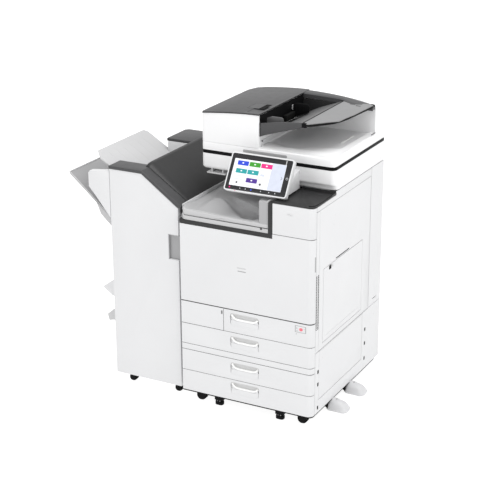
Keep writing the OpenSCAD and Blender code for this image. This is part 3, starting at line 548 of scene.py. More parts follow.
def side_marks():
    """Painted shade as dark boxes in the vents, bracket holes and slots on the right side, small latches, and lines of
    painted shade in the seams.
    """
    face = RIGHT - 0.35
    # Dark boxes over the vent slots, larger than the openings: painted shade for their insides
    vents = [(RIGHT - 2.8, y, 419.6 + i * VENT_PITCH, face + 0.5, y + wide, 424.2 + i * VENT_PITCH)
             for i in range(VENT_ROWS) for y, wide in ((29, 7.5), (43.5, 9))]
    blocks("vent_shade", vents, SHADE_BLACK)
    # Dark plates in the bracket holes: painted shade
    holes = [(51.2, z) for z in (66, 169, 224)] + [(522.2, z) for z in (91, 161, 226)]
    slabs((f"bracket_hole_shade_{i}", "x", (y - 1.5, z, y + 11.5, z + 16, 3), RIGHT - 2.8, face + 0.5, BLACK, "machine", 0.4)
          for i, (y, z) in enumerate(holes))
    turn = [math.radians(3 + 4 * k) for k in range(5)]
    strip = [(RIGHT - 24 + r * math.cos(a), 24 - r * math.sin(a))
             for r, way in ((24.15, 1), (23, -1)) for a in turn[::way]]
    prism("corner_slot", "z", strip, 670, 732, MID, "front_door")
    # Dark blocks in the door's slots: painted shade
    slots = [(RIGHT - 2, 212.5 + 8 * i, 662, RIGHT + 0.1, 218.5 + 8 * i, 666) for i in range(16)]
    blocks("door_slot_shade", slots, BLACK, "right_door")
    _, shelf_y0, _, _, shelf_y1, shelf_z1 = span("work_shelf")
    edge = ((-24, shelf_y0 + 1), (-8, shelf_y0 + 7), (-1.6, shelf_y0 + 24), (-1.2, shelf_y1 - 4))
    wire("shelf_edge", [(RIGHT + x, y, shelf_z1 - 3) for x, y in edge], 1.5, BLACK)
    slabs((
        ("bypass_latch", "x", (146, 637, 168, 655, 3), RIGHT - 3, RIGHT + 0.3, BLACK, "bypass_tray", 0.5),
        ("bypass_latch_button", "x", (152, 641, 160, 651, 2), RIGHT, RIGHT + 0.8, BLACK, "bypass_tray", 0.3),
        ("bypass_latch_plate", "x", (171, 640, 186, 653, 3), RIGHT - 1, RIGHT + 0.15, LIGHT, "bypass_tray", 0.3),
    ))
    button = [(RIGHT - 0.8, 2.0), (RIGHT + 0.05, 2.0), (RIGHT + 0.12, 1.4)]
    marks = [(196, 851, "right_door"), (186, 814, "right_door"), (188, 302, "lower_right_door"),
             (179, 279, "lower_right_door"), (97, 277, "lower_right_door"), (620, 270, "machine")]
    for i, (y, z, body) in enumerate(marks):
        lathe(f"side_mark_{i}", "x", (0, y, z), button, LIGHT, body, turns=20)
    # Grey and dark lines in the seams between the side panels: painted shade
    for name, y0, z0, y1, z1, front, material in (
            ("front", WALL + 1.1, 56, WALL + 2, 905, 0.5, SEAM_SHADE),
            ("post", 53, 326, 53.9, 905, 0.5, SEAM_SHADE),
            ("column", 555.5, 326, 556.4, 925, 0.5, LIGHT),
            ("door_bottom", 40, 320.1, 550, 321.4, 0.4, SHADE_BLACK),
            ("door_top", 56, 909.5, 552, 910.6, 0.5, SEAM_SHADE)):
        blocks(f"seam_shade_{name}", [(RIGHT - 3, y0, z0, RIGHT - front, y1, z1)], material)


def base_shadow_sheet():
    """Painted shadow: a dark sheet under the lowest drawer and covers, and a thin dark rim below their edges."""
    shadow_sheet = [(LEFT + 3, 660), (LEFT + 3, 3, 3), (RIGHT - 3, 3, 24), (RIGHT - 3, 660)]
    prism("base_shadow_sheet", "z", shadow_sheet, 48.6, 50.8, SHADE_BLACK)
    rim = [(LEFT + 1, 1, 3), (RIGHT - 1, 1, 24), (RIGHT - 1, 640), (RIGHT - 5, 640), (RIGHT - 5, 5, 20), (LEFT + 1, 5)]
    prism("base_shadow_rim", "z", rim, 46.6, 50.7, SHADE_BLACK)


for tray_number in HANDLE_Z:
    handle(tray_number)
front_marks()
side_marks()
base_shadow_sheet()

# ---------------- operation panel

LEAN = math.radians(32)
PANEL = span("panel_housing")
PANEL_W = PANEL[3] - PANEL[0]
PANEL_Y, PANEL_Z = 20, 948  # lower front edge of the panel


def on_panel(u, v, w):
    """Panel millimetres (u along the width, v up the face, w into the thickness) to machine ones."""
    return (PANEL[0] + u, PANEL_Y + w * math.cos(LEAN) + v * math.sin(LEAN),
            PANEL_Z - w * math.sin(LEAN) + v * math.cos(LEAN))


def on_face(name, corners, w0, w1, material, width=0.0, body="panel"):
    outline = fillet(corners)
    rings = [[on_panel(p.x, p.y, w) for p in outline] for w in (w0, w1)]
    loft(name, rings, material, body, width=width)


def panel_display():
    """Lit display under the touch glass, with plain keys on it."""
    on_face("display", rounded(19, 22, 243, 131, 1.5), 0.25, 0.5, LIT_WHITE)
    on_face("display_side_bar", rounded(184, 23, 242, 130, 1), 0.15, 0.3, LIT_GREY)
    on_face("panel_divider", rounded(238, 131, 241, 149, 1), 0.2, 0.5, LIGHT)
    keys = [(34, 106, LIT_BLUE), (86, 106, LIT_GREEN), (137, 106, LIT_PINK), (34, 74, LIT_TEAL),
            (85, 74, LIT_TEAL), (87, 41, LIT_PURPLE)]
    for i, (u, v, lit) in enumerate(keys):
        on_face(f"display_key_{i}", rounded(u, v, u + 48, v + 18, 2), 0.05, 0.3, lit)
        on_face(f"display_key_mark_{i}", rounded(u + 20, v + 7, u + 27, v + 12, 2), 0.0, 0.2, LIT_WHITE)
    faint = [(142, 73, 18, 9), (34, 48, 36, 3), (134, 96, 30, 2.4), (86, 62, 30, 2.4), (36, 96, 30, 2.4),
             (36, 62, 30, 2.4), (86, 96, 30, 2.4), (90, 28, 28, 2.4), (140, 30, 26, 2.4), (196, 120, 28, 3)]
    for i, (u, v, w, h) in enumerate(faint):
        on_face(f"display_caption_{i}", rounded(u, v, u + w, v + h, 1), 0.1, 0.3, LIT_GREY)
    for i, (u, v, r) in enumerate([(49, 36, 4), (150, 40, 4.5)]):
        on_face(f"display_icon_{i}", rounded(u - r, v - r, u + r, v + r, r), 0.05, 0.3, DARK)
    for i, u in enumerate((24, 70, 94, 118, 160, 196, 222)):
        lit = LIT_BLUE if i == 3 else (LIT_PINK if i == 0 else LIT_WHITE)
        size = 3 if i in (0, 3) else 1.6
        on_face(f"display_status_{i}", rounded(u - size, 14 - size, u + size, 14 + size, size), 0.1, 0.38, lit)
    arrow = [(230, 82), (236, 76), (230, 70), (232, 70), (238, 76), (232, 82)]
    on_face("display_arrow", arrow, 0.05, 0.3, DARK)
    for i, (u, lit) in enumerate(((10, LIT_GREY), (16, LIT_GREY), (48, LIT_PINK))):
        on_face(f"status_lamp_{i}", rounded(u, 1.4, u + 5, 3.4, 0.9), -0.15, 0.6, lit)


def power_mark():
    """Ring with a bar, the usual sign of a power switch, on the button."""
    ring = [on_panel(PANEL_W - 14 + 4.4 * math.sin(a), 78 + 4.4 * math.cos(a), 0.05)
            for a in [math.radians(d) for d in range(35, 326, 29)]]
    wire("power_ring", ring, 0.6, LIT_WHITE, "power_button")
    wire("power_bar", [on_panel(PANEL_W - 14, v, 0.05) for v in (78.5, 83)], 0.6, LIT_WHITE, "power_button",
         smooth=False)


panel_display()
power_mark()

# ---------------- document feeder

SCANNER = span("scanner_housing")
FEEDER = span("feeder_body")
TOP_X = SCANNER[0]
SCAN_Y0, SCAN_Y1 = FEEDER[1], FEEDER[4]
FEEDER_Z = FEEDER[2]
DECK_Z = FEEDER_Z + 36  # top of the feeder's base
BLOCK_X = -36  # right side of the feeder's left block
FOLD_X, FOLD_Z = 151, 1204  # fold of the input tray
TROUGH_SLOPE, PLATE_SLOPE = 0.3676, 0.01  # rise of its floor left and right of the fold
BACK_Y = 590  # front of the block behind the originals
ARCH_Z0, ARCH_Z1 = 1200, span("feeder_cover")[5]  # top cover: its left end and its highest point
BLOCK_TOP = 1193  # top of the casing behind the originals
LIP = 5  # thickness of the top cover
COVER_BACK = 648  # back edge of the top cover


def arch_at(x):
    """Height of the top cover: it rises in an arch towards its right end."""
    u = min(1, max(0, (x - TOP_X) / (BLOCK_X - TOP_X)))
    return ARCH_Z0 + (ARCH_Z1 - ARCH_Z0) * math.sin(math.radians(90 * u))


COVER_UNDER = arch_at(BLOCK_X) - LIP  # underside of the top cover at its high end


def arc(inset0, z0, inset1, z1, steps=5):
    """Quarter turn between two (inset, z) points, bulging outwards."""
    out = []
    for k in range(steps + 1):
        a = math.radians(90 * k / steps)
        if inset0 > inset1:
            out.append((inset1 + (inset0 - inset1) * (1 - math.sin(a)), z0 + (z1 - z0) * (1 - math.cos(a))))
        else:
            out.append((inset0 + (inset1 - inset0) * (1 - math.cos(a)), z0 + (z1 - z0) * math.sin(a)))
    return out


def turned_box(name, x0, y0, x1, y1, radii, path, material, body="machine", **more):
    """Walls over a rounded plan: path gives (inset, z) round the section. radii: front left, front right, back."""
    rings = []
    for inset, z in path:
        r = [max(0.6, k - inset) for k in radii]
        corners = [(x0 + inset, y0 + inset, r[0]), (x1 - inset, y0 + inset, r[1]),
                   (x1 - inset, y1 - inset, r[2]), (x0 + inset, y1 - inset, r[2])]
        rings.append([(p.x, p.y, z) for p in fillet(corners)])
    return loft(name, rings, material, body, **more)


def feeder_base():
    """Hollow base over the scanner with a soft upper edge, and the shallow recess that originals land in."""
    z = FEEDER_Z
    path = [(4, z + 30), (4, z), (1, z)] + arc(1, z, 0, z + 1.5, 3) + arc(0, DECK_Z - 7, 7, DECK_Z)
    turned_box("feeder_base", TOP_X, SCAN_Y0, RIGHT, SCAN_Y1, (16, 24, 3), path, CASING, "feeder",
               replaces=("feeder_body",))
    x0, x1, y0, y1 = BLOCK_X - 2, RIGHT - 5, SCAN_Y0 + 5, BACK_Y + 2

    def deck(s, t):
        x, y = x0 + s * (x1 - x0), y0 + t * (y1 - y0)
        # Front edge of the recess: it runs back on the left, level in the middle, back again on the right
        edge = 243 + 34 * ease(60, -30, x) + 52 * ease(110, 150, x) + 22 * ease(150, 250, x)
        right = ease(246, 262, x - (y - 300) * 0.02)
        rim = max(ease(edge + 10, edge - 14, y), right)
        crown = 1 - ease(0.88, 1.0, s) * 0.7 - ease(0.1, 0.0, t) * 0.75
        return x, y, DECK_Z + 0.3 + 6.2 * rim * crown

    sheet("feeder_deck", 48, 44, deck, 1.5, CASING, "feeder")
    slabs((
        ("feeder_grip", "y", (-108, 1055, 87, 1067, 5.5), SCAN_Y0 - 0.3, SCAN_Y0 + 3, MID, "feeder", 0.3),
        # A slit in the deck: a brighter strip for its painted highlight, and a grey strip beside it and a dark strip
        # on the right side for its painted shade
        ("deck_slit_highlight", "z", (220, 398, 227, 518, 3), DECK_Z, DECK_Z + 2.4, PAPER, "feeder", 0.3),
        ("deck_slit_painted_shade", "z", (217.5, 396, 220, 520, 1), DECK_Z, DECK_Z + 0.9, LIGHT, "feeder", 0.2),
        ("deck_slit_shadow", "x", (548, 1083, 590, 1087, 2), 289.6, 290.6, DARK, "feeder", 0),
    ))
    lathe("deck_pin", "y", (-22, 0, 1112), [(SCAN_Y0 - 0.6, 2.4), (SCAN_Y0 + 1, 3)], BLACK, "feeder", turns=20)


def feeder_blocks():
    """White casings left of and behind the originals, and the curtain over the outlet."""
    top = BLOCK_TOP

    def plan_at(inset):
        left, right, front, rear = TOP_X + inset, BLOCK_X - inset, SCAN_Y0 + inset, SCAN_Y1 - inset
        return fillet([(left, front, 16 - inset), (right, front, 10 - inset), (right, COVER_BACK - 5),
                       (right, COVER_BACK - 4), (right, rear), (left, rear, 3), (left, COVER_BACK - 4),
                       (left, COVER_BACK - 5)])

    outer = plan_at(0)
    # Every ring is divided as the outer one is, so that all have the same number of points
    steps = [max(1, round(abs(p.x - q.x) / 12)) for p, q in zip(outer, outer[1:] + outer[:1])]
    rings = []
    for inset, drop in ((4, 100), (4, 0), (0, 0), (0, 200)):
        plan = plan_at(inset)
        ring = []
        for p, q, count in zip(plan, plan[1:] + plan[:1], steps):
            ring += [p.lerp(q, k / count) for k in range(count)]
        heights = [arch_at(p.x) - LIP - 1 if p.y < COVER_BACK - 4.5 else top for p in ring]
        rings.append([(p.x, p.y, max(DECK_Z - 1, z - drop)) for p, z in zip(ring, heights)])
    loft("feeder_left_block", rings, CASING, "feeder")
    path = [(0, DECK_Z - 1)] + arc(0, top - 5, 5, top)
    turned_box("feeder_back_block", BLOCK_X - 2, BACK_Y, 290, SCAN_Y1, (1, 3, 6), path, CASING, "feeder")
    curtain = [(BLOCK_X, 1110), (BLOCK_X + 3, 1106, 3), (BLOCK_X + 2, 1088, 2), (BLOCK_X, 1088)]
    prism("outlet_curtain", "y", curtain, 196, BACK_Y - 4, WHITE, "feeder", width=0.5)


def feed_path():
    """Dark guide that turns the originals round under the roller, seen when the top cover is open."""
    x0, x1, y0, y1 = TOP_X + 8, BLOCK_X - 5, SCAN_Y0 + 12, COVER_BACK - 20

    def guide(s, t):
        return x0 + s * (x1 - x0), y0 + t * (y1 - y0), 1122 + 14 * math.cos(math.tau * s) + 6 * s

    sheet("feed_path_guide", 32, 2, guide, 3, DARK, "feeder")
    for i in range(7):
        y = y0 + 30 + i * 62
        wire(f"feed_path_rib_{i}", [guide(k / 12, (y - y0) / (y1 - y0)) for k in range(1, 12)], 1.6, BLACK, "feeder")


def floor_at(x):
    """Height of the input tray's floor."""
    return FOLD_Z - (FOLD_X - x) * TROUGH_SLOPE if x < FOLD_X else FOLD_Z + (x - FOLD_X) * PLATE_SLOPE


def input_tray():
    """Trough with its front wall, floor and fold, sheets of painted shade over the walls beside it and on the left of
    its floor, and the paler plate that carries long originals, with a painted shadow under its edge.
    """
    wall = [(BLOCK_X + 2, 1129), (FOLD_X + 2, 1187), (FOLD_X + 2, 1206, 3), (60, 1197, 60), (BLOCK_X + 2, 1182, 2)]
    prism("trough_front", "y", wall, 188, 194, DARK, "feeder", width=1.2, segments=3, replaces=("feeder_input_tray",))
    prism("trough_corner_line", "y", rounded(BLOCK_X + 1, 1128, BLOCK_X + 4, 1184, 1), 187.4, 190, BLACK, "feeder")

    def trough(s, t):
        x, y = BLOCK_X + 2 + s * (FOLD_X - BLOCK_X - 3), 193 + t * (BACK_Y - 194)
        return x, y, floor_at(x) - 6 * ease(0.5, 0.0, s) - 5 * (1 - s) * math.sin(math.pi * t)

    sheet("trough_floor", 24, 20, trough, 3, MIDDLE, "feeder")
    # Black sheet over the white block's side: painted shade under the cover
    left_shade = [(BLOCK_X + 0.3, 1140), (BLOCK_X + 2.5, 1140), (BLOCK_X + 1, COVER_UNDER - 1),
                 (BLOCK_X + 0.3, COVER_UNDER - 1)]
    prism("trough_left_shade", "y", left_shade, 190, COVER_BACK - 12, BLACK, "feeder")
    # Darker sheet over the front of the back block: painted shade
    back_shade = [(BLOCK_X + 1, 1130), (FOLD_X, 1190), (FOLD_X, 1194), (BLOCK_X + 1, BLOCK_TOP)]
    prism("trough_back_shade", "y", back_shade, BACK_Y - 4, BACK_Y - 0.2, DARK_SHADED, "feeder")
    prism("separator_block", "y", rounded(BLOCK_X + 4, 1140, -16, 1166, 4), 392, 500, SHADE_BLACK, "feeder", width=1)

    # Darker patch on the left of the trough floor: painted shade
    def shade_patch(s, t):
        x, y = BLOCK_X + 3 + s * 44, 262 + t * (BACK_Y - 268)
        return x, y, trough((x - BLOCK_X - 2) / (FOLD_X - BLOCK_X - 3), (y - 193) / (BACK_Y - 194))[2] + 0.6

    sheet("trough_floor_shade", 8, 10, shade_patch, 1, DARK_SHADED, "feeder")
    prism("set_sensor", "y", rounded(BLOCK_X + 4, 1172, BLOCK_X + 11, 1192, 2), 470, 478, LIGHT, "feeder", width=0.6)
    plate = [(FOLD_X + 1.5, 190, 2), (176, 190, 12), (262, 284, 70), (276, 400, 80), (287, 572, 4),
             (FOLD_X + 1.5, 576, 2)]
    rings = []
    for inset, lift in ((6, -9), (1, -7), (0, -3.5), (0.6, -1), (2.5, 0)):
        rings.append([(p.x - (inset if p.x > FOLD_X + 5 else 0), p.y + (inset if p.y < 260 else 0),
                       floor_at(p.x) + lift) for p in fillet(plate)])
    loft("extension_plate", rings, PALE, "feeder")
    # Black line under the plate's edge: painted shadow
    edge = ((FOLD_X + 16, 191), (180, 194), (205, 218), (235, 252), (254, 284), (266, 330), (273, 400), (281, 500),
            (286, 566))
    wire("extension_edge_shadow", [(x, y, floor_at(x) - 7.5) for x, y in edge], 4.2, BLACK, "feeder")
    prism("hinge_block", "y", rounded(FOLD_X - 3, 1187, FOLD_X + 16, 1205, 2.5), 187.5, 197, BLACK, "feeder", width=1)
    wire("fold_line", [(FOLD_X, y, FOLD_Z + 0.6) for y in (190, 582)], 1.3, BLACK, "feeder", smooth=False)
    for i, (x, y) in enumerate(((206, 545), (238, 528))):
        prism(f"plate_rib_{i}", "z", rounded(x - 11, y - 2, x + 11, y + 2, 2), FOLD_Z, 1206.4, DARK, "feeder", width=0.5)


def rail():
    """Raised band along the back of the input tray; it narrows and falls to a round dark tip."""
    def top(s, t):
        x = BLOCK_X + 1 + s * (289 - BLOCK_X - 1)
        outer = 650 - 8 * s - 58 * s ** 2.7
        inner = BACK_Y - 4 - 46 * ease(125, 225, x) + 18 * ease(235, 288, x)
        y = inner + t * (outer - inner)
        z = 1217 - 15 * s ** 1.4 - 3.5 * ease(0.7, 1.0, t) - 3.5 * ease(0.2, 0.0, t)
        return x, y, z

    sheet("rail_top", 40, 10, top, 16, GREY_DARK, "feeder")
    tip = [(1192, 2), (1194, 9), (1199, 12), (1203, 11), (1205.5, 6), (1206, 1)]
    lathe("rail_tip", "z", (279, 576, 0), tip, BLACK, "feeder", turns=32)


def paper_guides():
    """Side guides: thin upright blades with a rolled top edge and a foot."""
    for name, side in (("front_paper_guide", 1), ("rear_paper_guide", -1)):
        x0, y0, z0, x1, y1, z1 = span(name)
        y = y0 if side > 0 else y1 - 4
        colour = GUIDE if side > 0 else BLACK
        z_left, z_right = floor_at(x0) + 0.7, floor_at(x1) + 0.7
        blade = [(x0, z_left), (x1, z_right), (x1, z1, 14), (x0 + 22, z1, 14), (x0, z1 - 10, 3)]
        prism(name + "_blade", "y", blade, y, y + 4, colour, name, width=1.6, segments=3, replaces=(name,))
        foot = [(x0, z_left), (x1, z_right), (x1, z_right + 3, 1), (x0, z_left + 3, 1)]
        foot_y0, foot_y1 = (y, y1) if side > 0 else (y0, y + 4)
        prism(name + "_foot", "y", foot, foot_y0, foot_y1, colour, name, width=0.6)
        for i in range(3):
            x = x0 + 16 + 16 * i
            prism(f"{name}_rib_{i}", "y", rounded(x - 1.2, floor_at(x) + 4, x + 1.2, z1 - 10, 1.1),
                  y + (4 if side > 0 else -1.4), y + (5.4 if side > 0 else 0), colour, name, width=0.4)


def cover_details():
    """Latch plate with painted shade round it and for its finger slot, and lines of painted shadow along the rim of
    the feeder's top cover.
    """
    for name, x0, x1, lift, material in (("latch_slot_shade", -130, -55, 0.1, SHADE_BLACK), ("latch_plate", -128, -79, 0.4, DARK)):
        along = [x0 + (x1 - x0) * k / 8 for k in range(9)]
        line = [(x, arch_at(x) + lift) for x in along] + [(x, arch_at(x) - 2) for x in reversed(along)]
        grow = 0 if name == "latch_plate" else 2
        prism(name, "y", line, 266 - grow, 338 + grow, material, "feeder_cover")
    edge = [(BLOCK_X + 0.1, SCAN_Y0 + 4, COVER_UNDER + 0.4), (BLOCK_X + 0.1, COVER_BACK - 12, COVER_UNDER + 0.4)]
    wire("cover_shadow_line", edge, 0.8, BLACK, "feeder_cover", smooth=False)
    # Black line along the cover's lower front edge: painted shadow
    front = [(TOP_X + 6 + (BLOCK_X - TOP_X - 6) * k / 16, SCAN_Y0 - 1.6) for k in range(17)]
    wire("cover_front_shadow_line", [(x, y, arch_at(x) - LIP + 0.8) for x, y in front], 1.1, BLACK, "feeder_cover")


feeder_base()
feeder_blocks()
feed_path()
input_tray()
rail()
paper_guides()
cover_details()

# ---------------- output tray in the body

TRAY_X0, TRAY_Y0, TRAY_Z0, TRAY_X1, TRAY_Y1, TRAY_Z1 = span("exit_tray")
TRAY_Z = TRAY_Z0 + 37  # general height of its floor
STEP_Z = TRAY_Z0 + 18  # seam between its lower and upper front


def tray_height(x, y):
    """A lobe at the front left, a hollow wedge to its right, a ridge behind that, and a curb on the left."""
    beyond = x + y + 4
    ridge = y - 153 + (x + 33) * 0.54
    lobe = 17 * (1 - ease(-30, 12, beyond)) * ease(18, 130, y) * (1 - ease(146, 230, y))
    lobe *= ease(-262, -212, x)
    hollow = 17 * ease(-10, 40, beyond) * ease(1, -7, ridge) * ease(-210, -110, x)
    hollow *= ease(-20, 40, y + x * 0.15) * (1 - 0.75 * ease(10, 90, x))
    behind = 5 * ease(-8, 2, ridge) * (1 - ease(0, 110, ridge)) * ease(-240, -140, x)
    curb = 15 * ease(-250, -292, x) * (1 - 0.75 * ease(40, 130, y))
    front = 7 * ease(30, TRAY_Y0 + 6, y)
    return TRAY_Z + lobe - hollow + behind + curb - front


def output_tray():
    x0, x1 = TRAY_X0, TRAY_X1

    def seam_rise(x):
        return 17 * ease(x0 + 24, x0 - 4, x) ** 2

    def curb_rise(x):
        return 15 * ease(x0 + 46, x0 + 6, x)

    def top(s, t):
        x, y = x0 + 0.6 + s * (x1 - x0 - 0.8), TRAY_Y0 + 5 + t * (TRAY_Y1 - TRAY_Y0 - 6)
        y = y + 22 * ease(0.08, 0.0, s) ** 2 * (1 - t)
        return x, y, tray_height(x, y)

    sheet("output_floor", 72, 60, top, 4, BAY, replaces=("exit_tray",))
    for name, inset, z0, z1, soft in (("lower", 0, TRAY_Z0 + 0.2, STEP_Z, 1),
                                      ("upper", 2.6, STEP_Z + 1, TRAY_Z - 4, 4)):
        plan = [(x0 + inset, TRAY_Y0 + inset, 30 - inset), (x1, TRAY_Y0 + inset), (x1, 30), (x0 + 30, 30),
                (x0 + 8, 60), (x0 + inset, 60)]
        outline = fillet(plan, 10)
        rise = {z0: seam_rise if name == "upper" else lambda x: 0, z1: curb_rise if name == "upper" else seam_rise}
        rings = [[(p.x, p.y, z + rise[z](p.x)) for p in outline] for z in (z0, z1)]
        loft(f"output_front_{name}", rings, TRAY, width=soft, segments=4)
    seam = fillet([(x0 + 1.2, 58), (x0 + 1.2, TRAY_Y0 + 1.2, 29), (x1, TRAY_Y0 + 1.2)], 10)
    # Dark line in the seam between the lower and upper front: painted shade
    wire("output_seam_shade", [(p.x, p.y, STEP_Z + 0.5 + seam_rise(p.x)) for p in seam], 0.9, SHADE_BLACK)
    slabs((
        ("output_back_lining", "y", (x0 + 1, TRAY_Z0 + 4, x1, TRAY_Z1, 2), TRAY_Y1 - 3, TRAY_Y1, TRAY, "machine", 0.8),
        ("output_right_lining", "x", (TRAY_Y0 + 4, TRAY_Z0 + 4, TRAY_Y1 - 1, 934, 2), x1 - 4.5, x1, TRAY, "machine",
         0.8),
        # Dark patch over the outlet in the right lining: painted shade
        ("output_mouth_shade", "x", (90, 868, 430, 896, 4), x1 - 4.8, x1 - 4.2, SHADE_BLACK, "machine", 0),
    ))
    pillar = [(55, 4, 7), (x1 - 0.5, 4, 2), (x1 - 0.5, 58), (48, 58, 4)]
    prism("output_pillar", "z", pillar, TRAY_Z - 6, 928, BAY, width=2, segments=3)
    foot = [(22, 3.5, 4), (x1 - 0.5, 3.5), (x1 - 0.5, 46), (26, 46, 6)]
    prism("pillar_foot", "z", foot, STEP_Z + 2, TRAY_Z - 1, TRAY, width=1.6, segments=3)
    prism("tray_clip", "y", rounded(62, 812, 71, 820, 1.5), TRAY_Y0 - 0.2, 6, DARK, width=0.5)
    link = [(x, TRAY_Y0 + 0.4, z) for x, z in ((71, 816), (80, 817), (88, 816))]
    wire("clip_link", link, 0.8, MID)
    for i, (a, b) in enumerate(((-142, -118), (-122, -96))):
        lift = 4 * i
        wire(f"tray_mark_{i}", [(a, TRAY_Y0 + 2.7, 824 + lift), ((a + b) / 2, TRAY_Y0 + 2.4, 827 + lift),
                                (b, TRAY_Y0 + 2.7, 824 + lift)], 0.7, MID)


output_tray()

# ---------------- scanner

SCAN_Z0, SCAN_TOP = span("scanner_top_frame")[2] - 65, span("scanner_top_frame")[2] - 0.5


def scanner_body():
    """Bowl with soft lower edges, the deeper part over the right side, rails and the guide rib."""
    path = [(20, SCAN_Z0)] + arc(12, SCAN_Z0, 0, SCAN_Z0 + 13) + [(0, SCAN_TOP), (6, SCAN_TOP), (6, SCAN_Z0 + 4)]
    rings = []
    for inset, z in path:
        right = inset if inset == 6 else 0
        rings.append([(p.x, p.y, z) for p in fillet([
            (TOP_X + inset, SCAN_Y0 + inset, 16), (RIGHT - right, SCAN_Y0 + inset, 24 - right),
            (RIGHT - right, SCAN_Y1 - right, 3), (TOP_X + inset, SCAN_Y1 - right, 3)])])
    loft("scanner_bowl", rings, CASING, replaces=("scanner_housing",))
    deep = [(inset, SCAN_Z0 + z) for inset, z in ((5.5, -1), (5.5, -15), (3, -19), (1, -18.5), (0, -16), (0, 0.2))]
    turned_box("scanner_deep_part", 101, 206, RIGHT, SCAN_Y1, (2, 24, 3), deep, CASING)
    for i, y in enumerate((226, 640)):
        lathe(f"scan_rail_{i}", "x", (0, y, SCAN_Z0 + 11), [(TOP_X + 6, 4), (RIGHT - 6, 4)], STEEL, turns=24)
    prism("light_guide", "z", rounded(-278, 188, -191, 250, 6), 945, 950, LIGHT, width=1.2)
    for i, x in enumerate((-262, -212)):
        prism(f"light_guide_post_{i}", "y", rounded(x, 949, x + 6, SCAN_Z0 + 1, 1), 200, 240, LIGHT)


scanner_body()

# ---------------- finisher

FIN_X0, FIN_X1 = span("finisher_door")[0] - 2, span("finisher_door")[3] + 2
FIN_Y0 = span("finisher_door")[1]
SLOPE_X = -486  # where the finisher's top starts to slope down
SLANT = span("finisher_slant_cover")
NOSE_X, SLOPE_Z = SLANT[3], 838


def slanted_cover():
    """Sloping cover with a round ridge and a blunt nose beside the output tray."""
    rings = []
    for y, drop in ((78.4, 13.5), (80, 12), (86, 7), (94, 3), (104, 0.8), (116, 0), (SLANT[4], 0)):
        line = [(SLOPE_X - 13, 937), (SLOPE_X - 13, 984.5 - drop, 11 - drop * 0.5),
                (SLOPE_X + 8 - drop * 0.4, 984.5 - drop, 16 - drop * 0.8),
                (NOSE_X - 4, SLOPE_Z + 14 - drop * 0.14, 7), (NOSE_X, SLOPE_Z + 7, 4), (NOSE_X, SLOPE_Z + 1),
                (FIN_X1 + 1, SLOPE_Z + 1), (SLOPE_X - 6, 958), (SLOPE_X - 8, 937)]
        rings.append([(p.x, y, p.y) for p in fillet(line)])
    # The darker copy of dark plastic: painted shade on the slope
    loft("slanted_cover", rings, DARK_SHADED, replaces=("finisher_slant_cover",))
    for i, y in enumerate((170, 560)):
        lathe(f"slant_screw_{i}", "y", (SLOPE_X - 6, 0, 972), [(SLANT[4] - 0.4, 3), (SLANT[4] + 0.2, 2)], STEEL,
              turns=16)


def finger_recess():
    """Painted shade in the finger recess of the finisher's door: grey sheets over its back and left side, and a
    lighter grey line along its top edge.
    """
    x, y, z0, z1, door = FIN_X1, FIN_Y0, 612.6, 719.4, "finisher_door"
    slabs((
        ("recess_shade", "y", (x - 49.4, z0, x - 3, z1, 1), y + 10.8, y + 12.5, MID, door, 0),
        ("recess_left_shade", "y", (x - 49.8, z0, x - 47, z1, 1), y + 1.2, y + 11, MID, door, 0),
        ("recess_top_line", "y", (x - 49.5, z1 - 1.4, x - 3, z1 + 0.3, 0.6), y - 0.1, y + 11, LIGHT, door, 0),
    ))


def shift_tray_parts():
    """Paler side plates, rolled rim and the paper stop of the shift tray."""
    side = [(-892, 888.6), (-888, 877.6), (-763, 774.6), (-741, 722.6), (-690, 676.8), (FIN_X0 - 2.5, 668.6),
            (FIN_X0 - 2.5, 688), (-700, 722)]
    for name, y in (("front", 99.2), ("back", 537.8)):
        prism(f"shift_side_{name}", "y", side, y, y + 3, TRAY, "shift_tray", width=1)
    rim = [(-890.5, 101, 888), (-890.5, 539, 888)]
    wire("shift_rim", rim, 2.6, LIGHT, "shift_tray", smooth=False)
    edge = [(-889, 101, 888.6), (-700, 101, 724), (FIN_X0 - 6, 101, 692)]
    wire("shift_front_rim", edge, 1.8, LIGHT, "shift_tray", smooth=False)
    blocks("shift_ribs", [(-870, 150 + 85 * i, 866, -868, 154 + 85 * i, 868) for i in range(5)], MID, "shift_tray")


def upper_tray_parts():
    """Ribs of the upper tray, along its slope."""
    slope = math.tan(math.radians(31))
    for i in range(6):
        rib = [(x, 168 + 52 * i, 986.1 - (x + 752) * slope) for x in (-735, -640, -520)]
        wire(f"upper_rib_{i}", rib, 0.4, TRAY, smooth=False)


slanted_cover()
finger_recess()
shift_tray_parts()
upper_tray_parts()

# ---------------- anti-tip feet

SHOES = span("stabilizer_feet")
SHOE_X1, SHOE_Z1 = SHOES[3], SHOES[5]
SHOE_Y, SHOE_PITCH = 206, 178


